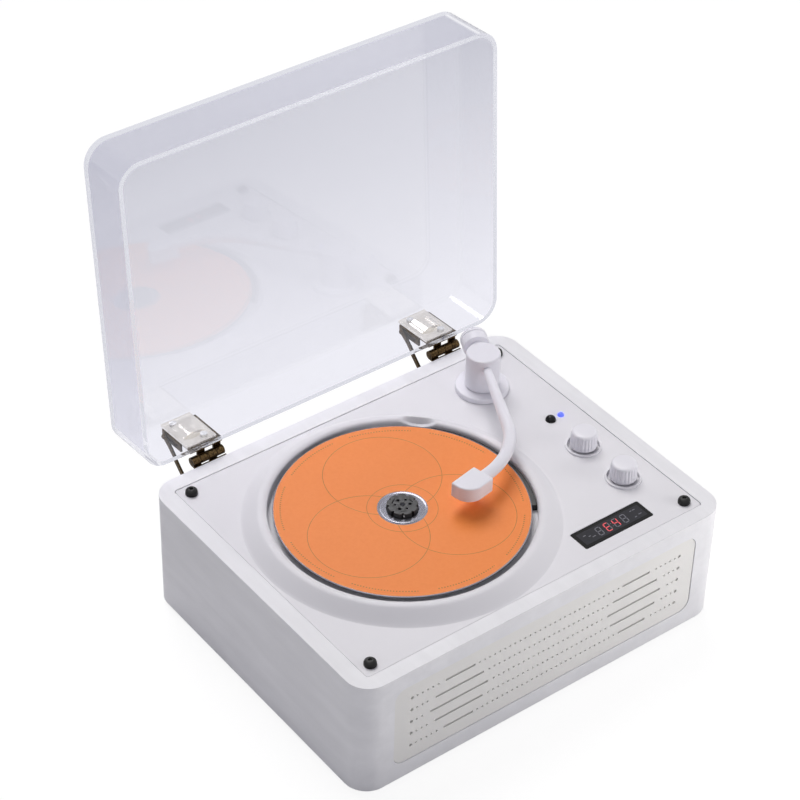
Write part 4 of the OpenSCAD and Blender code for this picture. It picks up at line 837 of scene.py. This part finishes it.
# %% Headshell and counterweight
HEAD_L, HEAD_W, HEAD_R, HEAD_GAP, HEAD_LOW, HEAD_HIGH = 16.0, 12.0, 8.0, 3.7, -5.0, 3.0
outline = [(HEAD_W / 2, 0), (HEAD_W / 2, HEAD_L)]
for i in range(17):
    turn = math.pi / 2 * i / 16
    outline.append((-HEAD_W / 2 + HEAD_R - HEAD_R * math.sin(turn), HEAD_L - HEAD_R + HEAD_R * math.cos(turn)))
outline.append((-HEAD_W / 2, 0))
joint_end = path[-2]
right_end = Vector((forward_end.y, -forward_end.x, 0))
head = bmesh.new()
spots = [joint_end + (forward_end * (HEAD_GAP + y) + right_end * x) * MM for x, y in outline]
skinned(head, [[head.verts.new(spot + Vector((0, 0, z * MM))) for spot in spots] for z in (HEAD_LOW, HEAD_HIGH)])
bmesh.ops.recalc_face_normals(head, faces=head.faces)
sharp = [edge for edge in head.edges if edge.calc_face_angle() > math.radians(40)]
bmesh.ops.bevel(head, geom=sharp, offset=0.7 * MM, segments=4, profile=0.5, affect="EDGES", clamp_overlap=True)
headshell = dressed("arm_headshell", head, SMOOTH_ABS, "headshell")
weight_profile = [(0, 0), (6.2, 0), (6.6, 0.15), (6.75, 0.5), (6.75, 5.4), (6.65, 5.5), (6.35, 5.55), (6.35, 6.05),
                  (6.65, 6.1), (6.75, 6.2), (6.75, 7.9), (6.6, 8.3), (6.2, 8.5), (0, 8.5)]
neck_profile = [(0, -8.0), (4.0, -8.0), (4.0, 0.2), (0, 0.2)]
weight = turned(weight_profile, (0, 0, 0), 96)
turned(neck_profile, (0, 0, 0), 64, shell=weight)
weight_mesh = mesh_from(weight, "weight")
backward = Vector((-math.cos(HEADING), -math.sin(HEADING), 0))
weight_mesh.transform(backward.to_track_quat("Z", "Y").to_matrix().to_4x4())
weight_mesh.transform(Matrix.Translation(Vector((POST.x, POST.y, DECK_Z + 15 * MM)) + backward * 13 * MM))
weight_piece = new_piece("arm_counterweight", weight_mesh, SMOOTH_ABS)
stand_in(weight_piece, "counterweight")
print(headshell.name, weight_piece.name)

# %% [markdown]
# The two knobs have fine grip flutes between a plain foot and a round shoulder. A turned profile whose radius
# swells and shrinks with the angle gives flutes that fade out at both ends, as a mould would make them.

# %% Knobs
FLUTES, FLUTE_DEPTH = 24, 0.42
knob_profile = [(3.02, 6.2), (3.02, 0), (6.35, 0), (6.55, 0.15), (6.6, 0.4), (6.6, 0.8), (6.58, 1.1), (6.52, 2.5),
                (6.42, 4.5), (6.34, 6.2), (6.3, 6.9), (6.24, 7.4), (6.08, 7.9), (5.8, 8.3), (5.35, 8.58),
                (4.8, 8.7), (0, 8.7)]


def fluted(radius, height, turn):
    fade = min(1.0, max(0.0, (height - 0.7) / 0.5)) * min(1.0, max(0.0, (7.9 - height) / 0.9))
    groove = 0.5 - 0.5 * math.cos(FLUTES * turn)
    return radius - FLUTE_DEPTH * fade * groove ** 1.5 if radius > 5.5 else radius


for name, node in (("volume_cap", "volume_knob"), ("select_cap", "select_knob")):
    centre = middle(node)
    cap = turned([(0, 6.2)] + knob_profile, (centre.x, centre.y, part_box(node)[0].z), FLUTES * 10, fluted)
    cap_piece = dressed(name, cap, SMOOTH_ABS, node, crease=50)
    print(name, len(cap_piece.data.polygons), "faces")

# %% [markdown]
# The disc is polycarbonate, 1.2 mm thick. Its middle and its outer edge are clear over bright metal, and
# between them it is screen printed. The print here is a plain design of its own: three thin circles that
# cross like a trefoil, and a ring of fine ticks near the edge. It is drawn by distances from points.

# %% Disc materials
def printed_disc():
    material, tree, surface, where = new_material("screen_printed_label")
    flat = add_node(tree, "ShaderNodeVectorMath", {0: where, 1: (1, 1, 0)}, operation="MULTIPLY").outputs[0]
    centre = Vector((SPINDLE.x, SPINDLE.y, 0))
    # Rings by centre, radius and half the line's width: the trefoil, the band of ticks and one round the hub
    rings = [(centre + Vector((math.cos(math.radians(turn)), math.sin(math.radians(turn)), 0)) * 25 * MM, 28, 0.16)
             for turn in (75, 195, 315)] + [(centre, 56.4, 0.35), (centre, 16.5, 0.14)]
    lines = []
    for spot, radius, half_line in rings:
        away = add_node(tree, "ShaderNodeVectorMath", {0: flat, 1: spot}, operation="DISTANCE").outputs["Value"]
        lines.append(add_node(tree, "ShaderNodeMath", {0: away, 1: radius * MM, 2: half_line * MM},
                              operation="COMPARE").outputs[0])
    spoke = add_node(tree, "ShaderNodeVectorMath", {0: flat, 1: centre}, operation="SUBTRACT").outputs[0]
    parts = add_node(tree, "ShaderNodeSeparateXYZ", {0: spoke}).outputs
    turn = add_node(tree, "ShaderNodeMath", {0: parts["Y"], 1: parts["X"]}, operation="ARCTAN2").outputs[0]
    # The band breaks into 260 ticks, and these into 9 groups with gaps between
    for count, kept_part, share in ((260, "LESS_THAN", 0.5), (9, "GREATER_THAN", 0.22)):
        step = turn
        for operation, number in (("MULTIPLY", count / math.tau), ("FRACT", 0), (kept_part, share)):
            step = add_node(tree, "ShaderNodeMath", {0: step, 1: number}, operation=operation).outputs[0]
        lines[3] = add_node(tree, "ShaderNodeMath", {0: lines[3], 1: step}, operation="MULTIPLY").outputs[0]
    ink = lines[0]
    for line in lines[1:]:
        ink = add_node(tree, "ShaderNodeMath", {0: ink, 1: line}, operation="MAXIMUM").outputs[0]
    ink = add_node(tree, "ShaderNodeMath", {0: ink, 1: 0.62}, operation="MULTIPLY").outputs[0]
    cloud = add_node(tree, "ShaderNodeTexNoise", {"Vector": where, "Scale": 700.0, "Detail": 3.0})
    base = add_node(tree, "ShaderNodeMix", {0: cloud.outputs["Fac"], 6: colour("#f88c43"), 7: colour("#ff974e")},
                    data_type="RGBA")
    add_node(tree, "ShaderNodeMix", {0: ink, 6: base.outputs[2], 7: colour("#8d7334")},
             surface.inputs["Base Color"], 2, data_type="RGBA")
    add_node(tree, "ShaderNodeBump", {"Height": cloud.outputs["Fac"], "Strength": 0.05, "Distance": 0.0001},
             surface.inputs["Normal"])
    settle(surface, Roughness=0.38, IOR=1.5, Specular_IOR_Level=0.25)
    return material


def bright_ring():
    material, tree, surface, where = new_material("metallised_polycarbonate")
    cloud = add_node(tree, "ShaderNodeTexNoise", {"Vector": where, "Scale": 150.0})
    add_node(tree, "ShaderNodeMix", {0: cloud.outputs["Fac"], 6: colour("#7c7c84"), 7: colour("#9c9ca4")},
             surface.inputs["Base Color"], 2, data_type="RGBA")
    settle(surface, Metallic=0.85, Roughness=0.16)
    return material


LABEL = printed_disc()
BRIGHT = bright_ring()
print(len(LABEL.node_tree.nodes), "nodes in the print")

# %% Disc
PRINT_FROM, PRINT_TO = 11.8, 59.5
disc_profile = [(7.5, 0.15), (7.65, 0), (17.0, 0), (17.2, -0.08), (17.6, -0.08), (17.8, 0), (59.8, 0), (60.0, 0.2),
                (60.0, 1.0), (59.8, 1.2), (PRINT_TO, 1.2), (PRINT_FROM, 1.2), (10.9, 1.2), (10.7, 1.14), (10.4, 1.14),
                (10.2, 1.2), (7.65, 1.2), (7.5, 1.05)]
disc_shell = turned(disc_profile, (SPINDLE.x, SPINDLE.y, DISC_LOW), 256, closed=True)
disc = new_piece("silver_disc", mesh_from(disc_shell, "disc"), LABEL, BRIGHT, crease=25)
for face in disc.data.polygons:
    middle_of = sum((disc.data.vertices[i].co for i in face.vertices), Vector()) / len(face.vertices)
    reach = (middle_of - Vector((SPINDLE.x, SPINDLE.y, middle_of.z))).length / MM
    on_top = middle_of.z > DISC_HIGH - 0.05 * MM
    face.material_index = 0 if on_top and PRINT_FROM < reach < PRINT_TO else 1
stand_in(disc, "compact_disc")
print("disc", len(disc.data.polygons), "faces")

# %% [markdown]
# The hub is a black moulding that carries the disc. Its nose has notches round the edge, a ring of small holes
# and three sprung claws with little balls that click under the disc. The nose is cut from outlines.

# %% Hub
HOLES_AT, BALLS_AT = 3.5, 6.85
hub_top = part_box("spindle_hub")[1].z
one_notch = ((0.0, 7.4), (0.2, 7.4), (0.4, 7.4), (0.6, 7.4), (0.72, 7.38), (0.76, 6.5), (0.94, 6.5), (0.98, 7.38))
notched = [around(SPINDLE, reach, math.tau * (i + turn) / 9) for i in range(9) for turn, reach in one_notch]
nose_outlines = [notched, ring_outline(SPINDLE, 1.05, 24)]
for i in range(6):
    spot = around(SPINDLE, HOLES_AT, math.tau * (i + 0.5) / 6)
    nose_outlines.append(ring_outline(spot, 0.72 if i % 2 else 0.62, 20 if i % 2 else 4))
for i in range(3):
    a = math.tau * i / 3
    along, across = Vector((math.cos(a), math.sin(a))), Vector((-math.sin(a), math.cos(a)))
    start = Vector((SPINDLE.x, SPINDLE.y))
    notch = [start + (along * x + across * y) * MM for x, y in ((4.7, -1.4), (4.7, 1.4), (4.9, 1.4), (4.9, -1.4))]
    nose_outlines.append([(v.x, v.y) for v in notch])
nose = plate("hub_nose", nose_outlines, DISC_HIGH - 0.1 * MM, hub_top, 0.3)
seat = [(1.05, -3), (11.5, -3), (14.2, -1.3), (14.5, -1.0), (14.5, -0.15), (14.35, 0), (7.42, 0), (7.42, 1.1),
        (1.05, 1.1)]
turned(seat, (SPINDLE.x, SPINDLE.y, DISC_LOW), 128, shell=nose, closed=True)
hub = dressed("disc_hub", nose, BLACK_ABS, "spindle_hub", crease=30)
ball = turned([(0, -0.6), (0.3, -0.52), (0.52, -0.3), (0.6, 0), (0.52, 0.3), (0.3, 0.52), (0, 0.6)], (0, 0, 0), 16)
claws = [(*around(SPINDLE, BALLS_AT, math.tau * i / 3), DISC_HIGH + 0.9 * MM) for i in range(3)]
balls = on_points("hub_balls", ball, claws, BRIGHT_STEEL)
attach(balls, frame["nodes"]["spindle_hub"]["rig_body"])
print(hub.name, balls.name)

# %% [markdown]
# A black crescent in the well is painted shade: it darkens the gap between the disc's edge and the wall, where the
# deck would otherwise show through.

# %% Well liner, a sheet of painted shade
# black plastic put where there is only the shade of the deep gap round the disc
shade_liner = softened("well_liner", BLACK_ABS, 0.15)
print(shade_liner.name)

# %% [markdown]
# The display is a dark cell behind a black window. Each digit is a figure of eight of seven bars. The two in
# the middle glow a little, and all bars that are off still show faintly through a faint painted glow. A colon stands
# in the middle.

# %% Display
softened("display_window", WINDOW_GLOSS, 0.12)
DIGIT_PITCH, BAR_LONG, BAR_WIDE, SIGN_LONG = 5.0, 2.3, 0.5, 1.4
border = Vector((1.9, 1.9, 0)) * MM
top_z = WINDOW[1].z
view_outline = box_outline(WINDOW[0] + border, WINDOW[1] - border, 0.4)
cell = plate("cell", [view_outline], top_z - 0.02 * MM, top_z + 0.02 * MM, 0.004)
cell_piece = new_piece("display_cell", mesh_from(cell, "cell"), CELL_GREY)
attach(cell_piece, frame["nodes"]["display_window"]["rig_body"])

BARS = {"a": (0, 2, 0), "b": (1, 1, 1), "c": (1, -1, 1), "d": (0, -2, 0), "e": (-1, -1, 1), "f": (-1, 1, 1),
        "g": (0, 0, 0)}
LIT = [set(), set("adefg"), set("bcfg"), set()]


def bar(shell, centre, upright, long_mm, wide_mm):
    half, thick = long_mm / 2, wide_mm / 2
    shape = [(-half, 0), (-half + thick, thick), (half - thick, thick), (half, 0), (half - thick, -thick),
             (-half + thick, -thick)]
    rings = [[shell.verts.new((centre[0] + (y if upright else x) * MM + (x if upright else 0) * 0.1 * MM,
                               centre[1] + (x if upright else y) * MM, z)) for x, y in shape]
             for z in (top_z + 0.01 * MM, top_z + 0.05 * MM)]
    skinned(shell, rings)


window_middle = middle("display_window")
on_shell, off_shell = bmesh.new(), bmesh.new()
for digit in range(4):
    x = window_middle.x + (digit - 1.5) * DIGIT_PITCH * MM
    for name, (across, up, upright) in BARS.items():
        shell = on_shell if name in LIT[digit] else off_shell
        bar(shell, (x + across * 1.25 * MM + up * 0.13 * MM, window_middle.y + up * 1.3 * MM), upright,
            BAR_LONG, BAR_WIDE)
for up in (-1, 1):
    bar(off_shell, (window_middle.x, window_middle.y + up * 1.0 * MM), 0, 0.6, 0.6)
SIGNS = ((-13.5, 0), (-15.5, 1.5), (-11.8, -1.2), (13.2, 2.2), (15.0, 2.2), (15.8, -1.6), (12.9, -2.2))
for i, (x, y) in enumerate(SIGNS):
    bar(off_shell, (window_middle.x + x * MM, window_middle.y + y * MM), 0, SIGN_LONG + 0.3 * (i % 3), BAR_WIDE)
for name, shell, finish in (("lit_bars", on_shell, SEGMENT_ON), ("dark_bars", off_shell, SEGMENT_OFF_GLOW)):
    bars = new_piece(name, mesh_from(shell, name), finish)
    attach(bars, frame["nodes"]["display_module"]["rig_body"])
    print(name, len(bars.data.polygons), "faces")

# %% [markdown]
# The sensor for the remote control is a dark dome that lets infrared light through, and the lamp is a bead of
# blue plastic with a light under it. Both are turned: a straight stem through the deck and part of an ellipse.

# %% Sensor and lamp
sensor = middle("remote_sensor")
dome = [(0, -3)] + [(2.5, -3), (2.5, 0.35)] + [
    (2.5 * math.cos(math.radians(a)), 0.4 + 2.0 * math.sin(math.radians(a))) for a in range(0, 90, 9)] + [(0, 2.4)]
sensor_piece = dressed("sensor_dome", turned(dome, (sensor.x, sensor.y, DECK_Z), 64), WINDOW_GLOSS,
                       "remote_sensor", crease=50)
light = middle("status_lamp")
bead = [(0, -3), (1.5, -3), (1.5, 0)] + [
    (1.5 * math.cos(math.radians(a)), 1.45 * math.sin(math.radians(a))) for a in range(9, 90, 9)] + [(0, 1.45)]
lamp_piece = dressed("lamp_bead", turned(bead, (light.x, light.y, DECK_Z), 48), BLUE_LENS, "status_lamp", crease=50)
print(sensor_piece.name, lamp_piece.name)

# %% [markdown]
# The lid is glued or moulded acrylic, 2.3 mm thick. Its edges are polished round, and those small rounds are
# what draws it: they bend the white room and show as pale lines, with a painted pale glow where a ray is trapped in a
# wall.

# %% Lid, hinges and stays
softened("lid_shell", ACRYLIC, 0.6, segments=3)
for node, finish, width in (("hinge_pads", PAD_PC, 0.3), ("hinge_cabinet_leaves", BRONZE, 0.12),
                            ("hinge_lid_leaves", BRONZE, 0.12), ("stay_arm_left", BRONZE, 0.1),
                            ("stay_arm_right", BRONZE, 0.1), ("rear_port_plate", SMOOTH_ABS, 0.25),
                            ("base_plate", BLACK_ABS, 0.2)):
    piece = softened(node, finish, width)
    print(piece.name, len(piece.data.polygons), "faces")

# %% [markdown]
# The solids that keep their own mesh get the finish of what they are made of.

# %% Finishes for the other solids
FINISHES = {
    BRIGHT_STEEL: ("base_screws", "deck_screws", "chassis_screws", "lid_leaf_screws", "guide_rods", "lead_screw",
                   "tonearm_shaft", "volume_shaft", "select_shaft"),
    # the spindle shaft is dark as painted shade in the hub's centre hole
    SHADED_SHAFT_STEEL: ("spindle_shaft",),
    PRESSED_STEEL: ("mech_chassis", "spindle_motor", "sled_motor", "volume_pot", "select_encoder", "speaker_frames",
                    "power_socket"),
    BRONZE: ("hinge_pins", "cabinet_leaf_screws"),
    RUBBER: ("chassis_dampers",), WOOD: ("corner_blocks",), PAPER_CONE: ("speaker_cones",),
    FERRITE: ("speaker_magnets",), CLOTH: ("grille_cloth",), BOARD_LACQUER: ("main_board", "control_board"),
    CELL_WRAP: ("battery_pack",), BLACK_ABS: ("audio_jack", "display_module"),
    MECH_ABS: ("pickup_sled", "select_plunger"), LENS_GLASS: ("pickup_lens",)}
for finish, nodes in FINISHES.items():
    for node in nodes:
        solid = frame["nodes"][node]
        solid.data.materials.clear()
        solid.data.materials.append(finish)
print(sum(map(len, FINISHES.values())), "solids finished")
